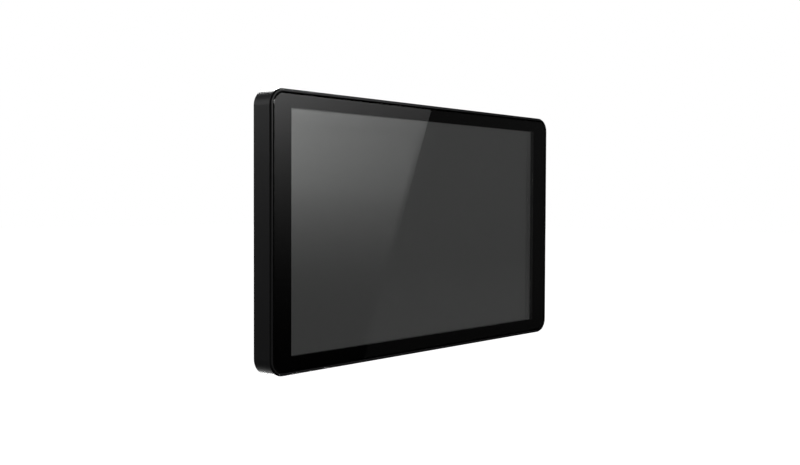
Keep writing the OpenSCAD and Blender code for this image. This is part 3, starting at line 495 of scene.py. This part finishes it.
feed(glass_tree, glass_or_lamp.inputs[1], glass_shader.outputs[0])
feed(glass_tree, glass_or_lamp.inputs[2], let_through.outputs[0])
feed(glass_tree, glass_tree.nodes["Material Output"].inputs["Surface"], glass_or_lamp.outputs[0])
dress(glass, "cover_glass")

picture_w = 476.06 * MM
picture_h = 267.79 * MM
glass_low, glass_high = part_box("cover_glass")
ink_inset = 0.6 * MM
ink_front = glass_high.y - 0.03 * MM
ink_back = glass_high.y - 0.006 * MM
ink_corner = 13.7 * MM - ink_inset
ink_w = glass_high.x - glass_low.x - 2 * ink_inset
ink_h = glass_high.z - glass_low.z - 2 * ink_inset
ink_outer = rounded_outline(ink_w, ink_h, ink_corner, 12)
ink_inner = rounded_outline(picture_w, picture_h, 0.4 * MM, 12)
ink_shape = bmesh.new()
loop_ring(ink_shape, [[(x, y, z) for x, z in outline] for outline, y in (
    (ink_outer, ink_front), (ink_inner, ink_front), (ink_inner, ink_back), (ink_outer, ink_back))])
ceramic_ink = finish("ceramic_ink", (0.0012, 0.0012, 0.0012), 0.8, size=0.2, spread=0.3, specular=0.0)
piece("glass_print", ink_shape, ceramic_ink)


# ---------------------------------------------------------------- touch sensor
# A clear glass sheet coated with a grid too fine to see, bonded to the back of the cover glass.
# An amber polyimide tail carries its signals round the panel to the touch board.
def block_in(shape, low, high, rim=0.15 * MM, segments=1):
    """Adds a block between two corners, with eased edges, to a shape."""
    made = bmesh.ops.create_cube(shape, size=1.0)["verts"]
    for point in made:
        point.co = [low[k] + (point.co[k] + 0.5) * (high[k] - low[k]) for k in range(3)]
    edges = {e for point in made for e in point.link_edges}
    bmesh.ops.bevel(shape, geom=list(edges), offset=rim, segments=segments, profile=0.6, affect="EDGES")


sensor_low, sensor_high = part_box("touch_sensor")
sensor_clear = 0.05 * MM
pane_shape = bmesh.new()
block_in(pane_shape, sensor_low + Vector((0, sensor_clear, 0)), sensor_high, rim=0.2 * MM, segments=2)
sensor_film = bpy.data.materials.new("sensor_film")
sensor_film.use_nodes = True
film_tree = sensor_film.node_tree
film_shader = film_tree.nodes["Principled BSDF"]
film_shader.inputs["IOR"].default_value = 1.0
film_shader.inputs["Transmission Weight"].default_value = 1.0
film_shader.inputs["Roughness"].default_value = 0.0
film_tint = placed(film_tree, grain, Vector=object_place(film_tree), Size=5.0, Color=(0.95, 0.96, 0.95, 1),
                   Color_Spread=0.01)
feed(film_tree, film_shader.inputs["Base Color"], film_tint["Color"])
film_ray = film_tree.nodes.new("ShaderNodeLightPath")
film_through = film_tree.nodes.new("ShaderNodeBsdfTransparent")
film_or_lamp = film_tree.nodes.new("ShaderNodeMixShader")
feed(film_tree, film_or_lamp.inputs[0], film_ray.outputs["Is Shadow Ray"])
feed(film_tree, film_or_lamp.inputs[1], film_shader.outputs[0])
feed(film_tree, film_or_lamp.inputs[2], film_through.outputs[0])
feed(film_tree, film_tree.nodes["Material Output"].inputs["Surface"], film_or_lamp.outputs[0])
touch_pane = piece("touch_pane", pane_shape, sensor_film)
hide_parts("touch_sensor")


def striped(name, under, over, axis, pitch, share, roughness, metallic=0.0, bump=0.02):
    """A finish with fine parallel stripes across an axis, such as conductors in a ribbon."""
    made = bpy.data.materials.new(name)
    made.use_nodes = True
    tree = made.node_tree
    shader = tree.nodes["Principled BSDF"]
    place = object_place(tree)
    parts = tree.nodes.new("ShaderNodeSeparateXYZ")
    feed(tree, parts.inputs[0], place)
    wave = calc(tree, "PINGPONG", calc(tree, "DIVIDE", parts.outputs[axis], pitch * MM), 0.5)
    stripe = calc(tree, "LESS_THAN", wave, 0.5 * share)
    texture = placed(tree, grain, Vector=place, Size=0.8, Color=(*under, 1), Color_Spread=0.15,
                     Roughness=roughness, Roughness_Spread=0.1)
    feed(tree, shader.inputs["Base Color"], mixed(tree, stripe, texture["Color"], (*over, 1)))
    feed(tree, shader.inputs["Roughness"], texture["Roughness"])
    shader.inputs["Metallic"].default_value = metallic
    relief(tree, stripe, bump)
    return made


tail_amber = striped("tail_amber", (0.42, 0.17, 0.03), (0.60, 0.30, 0.10), "Z", 0.8, 0.5, 0.35)
dress(tail_amber, "touch_tail")


# ---------------------------------------------------------------- display panel
# A liquid crystal cell in a thin blackened steel frame. Its even dark grey is painted light: the
# cell glows, standing in for the light on the unlit panel. Behind it lie a moulded frame, films,
# a light guide, a reflector and a pressed tray.
pixel = 0.248 * MM
screen = bpy.data.materials.new("screen_painted_glow")
screen.use_nodes = True
screen_tree = screen.node_tree
screen_shader = screen_tree.nodes["Principled BSDF"]
screen_place = object_place(screen_tree)
screen_parts = screen_tree.nodes.new("ShaderNodeSeparateXYZ")
feed(screen_tree, screen_parts.inputs[0], screen_place)
from_middle = calc(screen_tree, "ABSOLUTE", screen_parts.outputs["X"])
across = calc(screen_tree, "LESS_THAN", from_middle, picture_w / 2)
from_centre_line = calc(screen_tree, "ABSOLUTE", screen_parts.outputs["Z"])
upright = calc(screen_tree, "LESS_THAN", from_centre_line, picture_h / 2)
in_picture = calc(screen_tree, "MULTIPLY", across, upright)
row_line = calc(screen_tree, "PINGPONG", calc(screen_tree, "DIVIDE", screen_parts.outputs["Z"], pixel), 0.5)
pixel_rows = calc(screen_tree, "MULTIPLY_ADD", row_line, 0.12, 0.76)
# The cell's border round the picture glows too, at this share of the picture: painted light.
border_painted_glow = 0.75
lit = calc(screen_tree, "MULTIPLY_ADD", in_picture, 1 - border_painted_glow, border_painted_glow)
# The painted glow is a little brighter towards the foot of the panel.
foot_glow_gain = 2.4                       # brightening per metre below its start
foot_glow_start = -46 * MM
below_start = calc(screen_tree, "SUBTRACT", foot_glow_start, screen_parts.outputs["Z"])
foot_glow = calc(screen_tree, "MAXIMUM", calc(screen_tree, "MULTIPLY", below_start, foot_glow_gain), 0.0)
glow_pattern = calc(screen_tree, "ADD", pixel_rows, foot_glow)
painted_glow_level = calc(screen_tree, "MULTIPLY", lit, glow_pattern)
painted_glow_colour = mixed(screen_tree, painted_glow_level, (0, 0, 0, 1), (1, 1, 1, 1))
feed(screen_tree, screen_shader.inputs["Emission Color"], painted_glow_colour)
# The emission strength sets the level of the painted glow.
screen_shader.inputs["Emission Strength"].default_value = 0.0477
screen_grain = placed(screen_tree, grain, Vector=screen_place, Size=0.2, Color=(0.006, 0.006, 0.006, 1),
                      Color_Spread=0.2, Roughness=0.07, Roughness_Spread=0.02)
feed(screen_tree, screen_shader.inputs["Base Color"], screen_grain["Color"])
feed(screen_tree, screen_shader.inputs["Roughness"], screen_grain["Roughness"])
screen_shader.inputs["IOR"].default_value = 1.65
screen_shader.inputs["Specular IOR Level"].default_value = 0.7
# A clear coat over the picture makes the glare brighter. It fades out near the top, which is there
# for the look alone.
thinned = screen_tree.nodes.new("ShaderNodeClamp")
coat_full = 50 * MM                   # height up to which the coat is whole
coat_none = 118 * MM                  # height at which it has gone
below_none = calc(screen_tree, "SUBTRACT", coat_none, screen_parts.outputs["Z"])
feed(screen_tree, thinned.inputs["Value"], calc(screen_tree, "DIVIDE", below_none, coat_none - coat_full))
feed(screen_tree, screen_shader.inputs["Coat Weight"], thinned.outputs[0])
screen_shader.inputs["Coat IOR"].default_value = 2.8
screen_shader.inputs["Coat Roughness"].default_value = 0.03
dress(screen, "lcd_cell")

steel_black = finish("steel_black", (0.12, 0.12, 0.121), 0.35, size=0.5, spread=0.2, bump=0.004,
                     metallic=0.0, rubbed=(0.18, 0.18, 0.17), edge_width=0.25)
dress(steel_black, "panel_front_frame")
moulded_black = finish("moulded_black", (0.014, 0.014, 0.014), 0.5, size=0.25, spread=0.2, bump=0.015)
dress(moulded_black, "panel_mid_frame")
film_white = finish("film_white", (0.85, 0.85, 0.83), 0.55, size=2.0, spread=0.03, bump=0.003)
dress(film_white, "optical_films", "reflector_sheet")
acrylic = finish("light_guide_acrylic", (0.75, 0.82, 0.84), 0.12, size=1.2, spread=0.05, bump=0.01,
                 coat=0.5)
dress(acrylic, "light_guide")
led_board = striped("led_board", (0.80, 0.80, 0.76), (0.75, 0.62, 0.20), "X", 7.0, 0.45, 0.4)
dress(led_board, "led_strip")
tray_aluminium = finish("tray_aluminium", (0.60, 0.61, 0.62), 0.38, size=0.35, spread=0.08,
                        rough_spread=0.15, bump=0.01, metallic=1.0, stretch=(0.05, 1, 1))
dress(tray_aluminium, "panel_back_tray")
zinc_steel = finish("zinc_steel", (0.50, 0.51, 0.50), 0.35, size=3.0, spread=0.2, rough_spread=0.2,
                    bump=0.003, metallic=1.0, rubbed=(0.7, 0.7, 0.68), edge_width=0.2)
dress(zinc_steel, "panel_brackets", "button_bracket")


# Tracks: a circuit board's copper under its lacquer: square-cornered runs with small round
# pads, as a mask and a height.
tracks, t_in, t_out = new_group(
    "tracks",
    [("Vector", "NodeSocketVector", None), ("Pitch", "NodeSocketFloat", 1.0)],
    [("Track", "NodeSocketFloat"), ("Pad", "NodeSocketFloat"), ("Height", "NodeSocketFloat")],
)
per_metre = calc(tracks, "DIVIDE", 1.0 / MM, t_in["Pitch"])
cells = tracks.nodes.new("ShaderNodeTexVoronoi")
cells.distance = "CHEBYCHEV"
cells.feature = "F1"
cells.inputs["Randomness"].default_value = 0.8
feed(tracks, cells.inputs["Vector"], t_in["Vector"])
feed(tracks, cells.inputs["Scale"], calc(tracks, "MULTIPLY", per_metre, 0.22))
run = calc(tracks, "PINGPONG", calc(tracks, "MULTIPLY", cells.outputs["Distance"], 4.0), 0.5)
on_run = calc(tracks, "LESS_THAN", run, 0.16)
dots = tracks.nodes.new("ShaderNodeTexVoronoi")
dots.feature = "F1"
feed(tracks, dots.inputs["Vector"], t_in["Vector"])
feed(tracks, dots.inputs["Scale"], calc(tracks, "MULTIPLY", per_metre, 0.4))
on_dot = calc(tracks, "LESS_THAN", dots.outputs["Distance"], 0.13)
feed(tracks, t_out["Track"], on_run)
feed(tracks, t_out["Pad"], on_dot)
feed(tracks, t_out["Height"], calc(tracks, "MAXIMUM", on_run, on_dot))


def circuit(name, lacquer, over_copper):
    """A printed circuit board: lacquer over copper runs, with bare tinned pads."""
    made = bpy.data.materials.new(name)
    made.use_nodes = True
    tree = made.node_tree
    shader = tree.nodes["Principled BSDF"]
    place = object_place(tree)
    copper = placed(tree, tracks, Vector=place, Pitch=1.0)
    texture = placed(tree, grain, Vector=place, Size=0.6, Color=(*lacquer, 1), Color_Spread=0.15,
                     Roughness=0.32, Roughness_Spread=0.08)
    surface = mixed(tree, copper["Track"], texture["Color"], (*over_copper, 1))
    feed(tree, shader.inputs["Base Color"], mixed(tree, copper["Pad"], surface, (0.62, 0.60, 0.52, 1)))
    feed(tree, shader.inputs["Metallic"], calc(tree, "MULTIPLY", copper["Pad"], 0.9))
    feed(tree, shader.inputs["Roughness"], texture["Roughness"])
    relief(tree, copper["Height"], 0.03)
    return made


board_green = circuit("board_green", (0.012, 0.075, 0.032), (0.022, 0.120, 0.050))
dress(board_green, "panel_board")


# ---------------------------------------------------------------- screws, spacers and stand-offs
# Cross-head machine screws: black zinc outside and on the panel brackets, bright nickel inside.
# The four threaded spacers under the back carry the whole unit on its wall plate.
screw_black = finish("screw_black", (0.030, 0.030, 0.032), 0.32, size=0.3, spread=0.25, bump=0.004,
                     metallic=0.6, rubbed=(0.22, 0.22, 0.21), edge_width=0.12)
dress(screw_black, "bezel_screws", "bracket_screws", "cover_screws")
turned_steel = finish("turned_steel", (0.58, 0.58, 0.56), 0.28, size=0.2, spread=0.12, rough_spread=0.15,
                      bump=0.004, metallic=1.0, rubbed=(0.75, 0.75, 0.73), edge_width=0.15)
dress(turned_steel, "mount_spacers", "board_screws")
turned_brass = finish("turned_brass", (0.60, 0.43, 0.17), 0.30, size=0.2, spread=0.15, rough_spread=0.15,
                      bump=0.004, metallic=1.0, rubbed=(0.80, 0.66, 0.36), edge_width=0.15)
dress(turned_brass, "board_standoffs", "switch_terminals")


# ---------------------------------------------------------------- rear cover
# The electronics box: one steel sheet, drawn and slotted, in the housing's powder coat. Black
# cloth is glued behind its speaker slots.
dress(powder_black, "rear_cover")

speaker_low, speaker_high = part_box("speaker_boxes")
cone_low, cone_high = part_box("speaker_cones")
cover_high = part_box("rear_cover")[1]
cloth_w = 27 * MM
cloth_h = 52 * MM
cloth_back = cover_high.y - 1.25 * MM
cloth_t = 0.3 * MM
cloth_sag = 0.35 * MM
cloth_cells = 16
speaker_z = (cone_low.z + cone_high.z) / 2
speaker_x = (speaker_high.x - speaker_low.x) / 2 - 17 * MM
cloth_black = bpy.data.materials.new("cloth_black")
cloth_black.use_nodes = True
cloth_tree = cloth_black.node_tree
cloth_shader = cloth_tree.nodes["Principled BSDF"]
cloth_place = object_place(cloth_tree)
cloth_parts = cloth_tree.nodes.new("ShaderNodeSeparateXYZ")
feed(cloth_tree, cloth_parts.inputs[0], cloth_place)
thread = 0.7 * MM
warp = calc(cloth_tree, "PINGPONG", calc(cloth_tree, "DIVIDE", cloth_parts.outputs["X"], thread), 0.5)
weft = calc(cloth_tree, "PINGPONG", calc(cloth_tree, "DIVIDE", cloth_parts.outputs["Z"], thread), 0.5)
weave = calc(cloth_tree, "MULTIPLY", calc(cloth_tree, "MULTIPLY", warp, weft), 4.0)
cloth_colour = mixed(cloth_tree, weave, (0.004, 0.004, 0.004, 1), (0.03, 0.03, 0.03, 1))
feed(cloth_tree, cloth_shader.inputs["Base Color"], cloth_colour)
cloth_shader.inputs["Roughness"].default_value = 0.9
relief(cloth_tree, weave, 0.15)


def sag_sheet(shape, centre_x, centre_z):
    """Adds a thin two-sided sheet that sags a little towards its middle."""
    faces = []
    for back in (0, 1):
        grid = []
        for i in range(cloth_cells + 1):
            for j in range(cloth_cells + 1):
                u = i / cloth_cells - 0.5
                v = j / cloth_cells - 0.5
                drop = cloth_sag * math.cos(math.pi * u) * math.cos(math.pi * v)
                y = cloth_back - cloth_t * (1 - back) - drop
                grid.append(shape.verts.new((centre_x + u * cloth_w, y, centre_z + v * cloth_h)))
        faces.append(grid)
    row = cloth_cells + 1
    for grid in faces:
        for i in range(cloth_cells):
            for j in range(cloth_cells):
                a = i * row + j
                shape.faces.new((grid[a], grid[a + 1], grid[a + row + 1], grid[a + row]))
    rim = [i * row for i in range(row)]
    rim += [cloth_cells * row + j for j in range(1, row)]
    rim += [i * row + cloth_cells for i in range(cloth_cells - 1, -1, -1)]
    rim += range(cloth_cells - 1, 0, -1)
    for k, a in enumerate(rim):
        b = rim[(k + 1) % len(rim)]
        shape.faces.new((faces[0][a], faces[0][b], faces[1][b], faces[1][a]))


for side, word in ((-1, "left"), (1, "right")):
    cloth_shape = bmesh.new()
    sag_sheet(cloth_shape, side * speaker_x, speaker_z)
    piece("speaker_cloth_" + word, cloth_shape, cloth_black)


# ---------------------------------------------------------------- main board
# The computer on one green circuit board, on brass stand-offs: a processor under a finned black
# heat sink, memory, tall capacitors, a coin cell, plugs, and rows of small parts.
dress(board_green, "main_board", "backlight_board", "button_board")
board_blue = circuit("board_blue", (0.010, 0.035, 0.110), (0.018, 0.060, 0.160))
dress(board_blue, "touch_board")
chip_epoxy = finish("chip_epoxy", (0.013, 0.013, 0.014), 0.45, size=0.12, spread=0.2, bump=0.01)
dress(chip_epoxy, "processor", "memory_chips", "tact_switches")
pad_silicone = finish("pad_silicone", (0.20, 0.28, 0.38), 0.7, size=0.5, spread=0.1, bump=0.02)
dress(pad_silicone, "thermal_pad")
fin_black = finish("fin_black", (0.022, 0.022, 0.024), 0.4, size=0.3, spread=0.25, bump=0.01, metallic=0.5,
                   stretch=(1, 1, 0.06), rubbed=(0.30, 0.30, 0.30), edge_width=0.12)
dress(fin_black, "heat_sink")
cell_steel = finish("cell_steel", (0.66, 0.65, 0.62), 0.24, size=0.25, spread=0.06, bump=0.002,
                    metallic=1.0,
                    stretch=(1, 1, 0.1), rubbed=(0.8, 0.8, 0.78), edge_width=0.2)
dress(cell_steel, "clock_battery")
nylon_cream = finish("nylon_cream", (0.72, 0.68, 0.55), 0.45, size=0.5, spread=0.08, bump=0.01)
dress(nylon_cream, "board_connectors")

# Aluminium cans with a printed black stripe down one side
can_finish = bpy.data.materials.new("capacitor_can")
can_finish.use_nodes = True
can_tree = can_finish.node_tree
can_shader = can_tree.nodes["Principled BSDF"]
can_place = object_place(can_tree, (1, 0.08, 1))
can_parts = can_tree.nodes.new("ShaderNodeSeparateXYZ")
feed(can_tree, can_parts.inputs[0], can_place)
cans_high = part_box("board_capacitors")[1]
stripe_z = cans_high.z - 1.6 * MM
on_stripe = calc(can_tree, "GREATER_THAN", can_parts.outputs["Z"], stripe_z)
can_grain = placed(can_tree, grain, Vector=can_place, Size=0.4, Color=(0.70, 0.70, 0.70, 1),
                   Color_Spread=0.08, Roughness=0.25, Roughness_Spread=0.1)
sleeve = mixed(can_tree, on_stripe, can_grain["Color"], (0.02, 0.02, 0.02, 1))
feed(can_tree, can_shader.inputs["Base Color"], sleeve)
feed(can_tree, can_shader.inputs["Roughness"], can_grain["Roughness"])
can_shader.inputs["Metallic"].default_value = 0.9
dress(can_finish, "board_capacitors")

board_low, board_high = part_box("main_board")
board_face = board_high.y
part_sink = 0.05 * MM


def on_board(shape, x, z, w, h, tall, rim=0.1):
    """Adds a small part to the board's back face; mm from the board's lower left corner."""
    low = (board_low.x + (x - w / 2) * MM, board_face - part_sink, board_low.z + (z - h / 2) * MM)
    high = (board_low.x + (x + w / 2) * MM, board_face + tall * MM, board_low.z + (z + h / 2) * MM)
    block_in(shape, low, high, rim=rim * MM)


# Power coils in a row under the heat sink: grey ferrite blocks with rounded edges
coil_grey = finish("coil_grey", (0.06, 0.06, 0.065), 0.6, size=0.3, spread=0.25, bump=0.03)
coil_shape = bmesh.new()
for k in range(4):
    on_board(coil_shape, 34 + 11 * k, 30, 6.4, 6.4, 3.0, rim=0.7)
piece("board_coils", coil_shape, coil_grey)

# Flat chips with rows of legs on two sides
chip_shape = bmesh.new()
leg_shape = bmesh.new()
for chip_x, chip_z, chip_w, legs in ((84, 30, 9, 8), (98, 30, 9, 8), (20, 58, 6, 5), (112, 100, 6, 5),
                                     (90, 112, 7, 6)):
    on_board(chip_shape, chip_x, chip_z, chip_w, chip_w * 0.66, 1.5, rim=0.2)
    for k in range(legs):
        for side in (-1, 1):
            leg_x = chip_x + (k - (legs - 1) / 2) * chip_w / (legs + 0.5)
            on_board(leg_shape, leg_x, chip_z + side * (chip_w * 0.33 + 0.5), 0.4, 1.0, 0.35, rim=0.08)
piece("board_chips", chip_shape, chip_epoxy)
tinned = finish("tinned", (0.62, 0.61, 0.58), 0.3, size=0.3, spread=0.1, bump=0.004, metallic=1.0)
piece("board_legs", leg_shape, tinned)

# Small ceramic parts: a tan body between two tinned ends, in ranks
ceramic_tan = finish("ceramic_tan", (0.30, 0.19, 0.09), 0.5, size=0.2, spread=0.2, bump=0.005)
body_shape = bmesh.new()
end_shape = bmesh.new()
ranks = ((30, 42, 14), (30, 22, 20), (86, 42, 8), (30, 104, 12), (108, 60, 5), (108, 66, 5))
for first_x, rank_z, count in ranks:
    for k in range(count):
        x = first_x + 2.6 * k
        on_board(body_shape, x, rank_z, 0.9, 0.8, 0.75, rim=0.08)
        on_board(end_shape, x - 0.6, rank_z, 0.35, 0.86, 0.8, rim=0.06)
        on_board(end_shape, x + 0.6, rank_z, 0.35, 0.86, 0.8, rim=0.06)
piece("board_ceramics", body_shape, ceramic_tan)
piece("board_ceramic_ends", end_shape, tinned)


# ---------------------------------------------------------------- sockets
# Folded nickel-plated shells soldered to the board, flush with the lower wall: sound, two for
# data, one for pictures, the network, and the round power inlet with its nut.
nickel_plate = finish("nickel_plate", (0.60, 0.59, 0.56), 0.25, size=1.2, spread=0.1, rough_spread=0.15,
                      bump=0.003, metallic=1.0, rubbed=(0.75, 0.74, 0.70), edge_width=0.15)
dress(nickel_plate, "hdmi_socket", "usb_sockets", "lan_socket", "power_socket_nut")
dress(moulded_black, "audio_socket", "power_socket")

socket_floor = board_low.z - 2.2 * MM      # outer face of the lower wall
low_axis = board_face + 2.9 * MM           # middle of the low sockets
gold = finish("gold_plate", (0.75, 0.53, 0.20), 0.22, size=0.3, spread=0.08, bump=0.002, metallic=1.0)
tongue_shape = bmesh.new()
contact_shape = bmesh.new()


def tongue_in_socket(x, wide, thick, start_y, deep, contacts, spacing):
    """Adds a moulded tongue and its row of contacts inside a shell; mm, from the socket's axis."""
    skin = 0.06
    left = board_low.x + (x - wide / 2 - skin) * MM
    right = board_low.x + (x + wide / 2 + skin) * MM
    front = low_axis + (start_y - skin) * MM
    back = low_axis + (start_y + thick + skin) * MM
    block_in(tongue_shape, (left, front, socket_floor + 0.9 * MM),
             (right, back, socket_floor + deep * MM), 0.2 * MM)
    for k in range(contacts):
        mid = board_low.x + (x + (k - (contacts - 1) / 2) * spacing) * MM
        half = spacing * 0.28 * MM
        block_in(contact_shape, (mid - half, back - 0.02 * MM, socket_floor + 1.4 * MM),
                 (mid + half, back + 0.1 * MM, socket_floor + deep * MM), 0.03 * MM)


tongue_in_socket(66, 11.4, 1.0, -0.3, 9.5, 10, 1.0)
for usb_x in (26, 44):
    tongue_in_socket(usb_x, 11.2, 1.8, -1.9, 12.5, 4, 2.5)
piece("socket_tongues", tongue_shape, moulded_black)

lan_x = board_low.x + 92 * MM
lan_axis = board_face + 6.65 * MM
for k in range(8):
    mid = lan_x + (k - 3.5) * 1.02 * MM
    wire = 0.22 * MM
    start = lan_axis - 3.42 * MM
    block_in(contact_shape, (mid - wire, start, socket_floor + 1.5 * MM),
             (mid + wire, start + 0.5 * MM, socket_floor + 11 * MM), 0.05 * MM)
piece("socket_contacts", contact_shape, gold)

# Two small light windows beside the network opening
light_green = finish("window_green", (0.05, 0.32, 0.10), 0.25, size=0.5, spread=0.1, bump=0.01, coat=0.5)
light_amber = finish("window_amber", (0.50, 0.24, 0.03), 0.25, size=0.5, spread=0.1, bump=0.01, coat=0.5)
for side, word, made in ((-1, "left", light_green), (1, "right", light_amber)):
    window = bmesh.new()
    mid = lan_x + side * 6.95 * MM
    block_in(window, (mid - 0.7 * MM, lan_axis - 5.4 * MM, socket_floor - 0.12 * MM),
             (mid + 0.7 * MM, lan_axis - 3.0 * MM, socket_floor + 0.6 * MM), 0.12 * MM, 2)
    piece("network_light_" + word, window, made)


# ---------------------------------------------------------------- power switch
# A snapped-in rocker switch: matt moulded body, smoother rocker with a white printed line at
# its on end and a ring at its off end, and brass blades behind.
rocker_black = finish("rocker_black", (0.012, 0.012, 0.012), 0.28, size=0.3, spread=0.15, bump=0.006)
dress(moulded_black, "switch_body")
dress(rocker_black, "switch_rocker")
mark_white = finish("mark_white", (0.75, 0.75, 0.73), 0.5, size=0.2, spread=0.06, bump=0.003)
rocker_joint = [joint for joint in frame["joints"] if joint["name"] == "rocker_tilt"][0]
pivot = Vector(rocker_joint["pos_m"])
rest_tilt = math.radians(10)
face_slope = math.radians(16.77)      # each half of the face, against the pivot's plane
mark_out = 2.55 * MM                  # pivot to a mark, along the face
mark_down = 5.469 * MM                # pivot's height above the face there
mark_proud = 0.08 * MM
mark_sunk = 0.05 * MM
line_half_w, line_half_l = 0.25 * MM, 1.6 * MM
ring_outer, ring_inner = 1.35 * MM, 0.95 * MM
ring_steps = 32
mark_shape = bmesh.new()
block_in(mark_shape, (-line_half_w, -line_half_l, -mark_proud),
         (line_half_w, line_half_l, mark_sunk), 0.06 * MM)
on_face = Matrix.Translation((mark_out, 0, -mark_down)) @ Matrix.Rotation(face_slope, 4, "Y")
bmesh.ops.transform(mark_shape, matrix=on_face, verts=mark_shape.verts)
line_points = list(mark_shape.verts)
ring_loops = []
for radius, level in ((ring_outer, -mark_proud), (ring_inner, -mark_proud), (ring_inner, mark_sunk),
                      (ring_outer, mark_sunk)):
    turns = [math.tau * k / ring_steps for k in range(ring_steps)]
    ring_loops.append([(radius * math.cos(turn), radius * math.sin(turn), level) for turn in turns])
loop_ring(mark_shape, ring_loops)
ring_points = [point for point in mark_shape.verts if point not in line_points]
off_face = Matrix.Translation((-mark_out, 0, -mark_down)) @ Matrix.Rotation(-face_slope, 4, "Y")
bmesh.ops.transform(mark_shape, matrix=off_face, verts=ring_points)
bmesh.ops.transform(mark_shape, matrix=Matrix.Translation(pivot) @ Matrix.Rotation(rest_tilt, 4, "Y"),
                    verts=mark_shape.verts)
piece("rocker_marks", mark_shape, mark_white, "power_rocker")


# ---------------------------------------------------------------- leads, cable and antenna
# Insulated leads run from the power inlet to the switch and the boards; a grey ribbon feeds the
# panel, and a stuck-on antenna has its own thin lead.
lead_red = finish("lead_red", (0.32, 0.016, 0.016), 0.42, size=0.4, spread=0.12, bump=0.01)
lead_black = finish("lead_black", (0.014, 0.014, 0.014), 0.42, size=0.4, spread=0.2, bump=0.01)
dress(lead_red, "power_leads")
dress(lead_black, "signal_leads", "antenna_lead")
ribbon = striped("ribbon_grey", (0.50, 0.50, 0.47), (0.62, 0.62, 0.58), "Z", 1.0, 0.6, 0.45)
dress(ribbon, "panel_cable")
dress(moulded_black, "antenna")


# ---------------------------------------------------------------- speakers
# Two sealed moulded boxes, each with a pressed paper cone in a rubber roll and a ferrite magnet
# behind it.
dress(moulded_black, "speaker_boxes")
cone_paper = finish("cone_paper", (0.030, 0.030, 0.031), 0.75, size=0.4, spread=0.35, bump=0.04)
dress(cone_paper, "speaker_cones")
ferrite_grey = finish("ferrite_grey", (0.055, 0.055, 0.06), 0.6, size=0.3, spread=0.25, bump=0.02,
                      metallic=0.3)
dress(ferrite_grey, "speaker_magnets")


# ---------------------------------------------------------------- buttons
# Five moulded push buttons in the lower wall, each pressing a small switch on a board that a
# folded bracket holds.
button_black = finish("button_black", (0.016, 0.016, 0.016), 0.33, size=0.3, spread=0.15, bump=0.006,
                      rubbed=(0.03, 0.03, 0.03), edge_width=0.2)
for word in ("power", "source", "menu", "down", "up"):
    dress(button_black, "button_" + word)
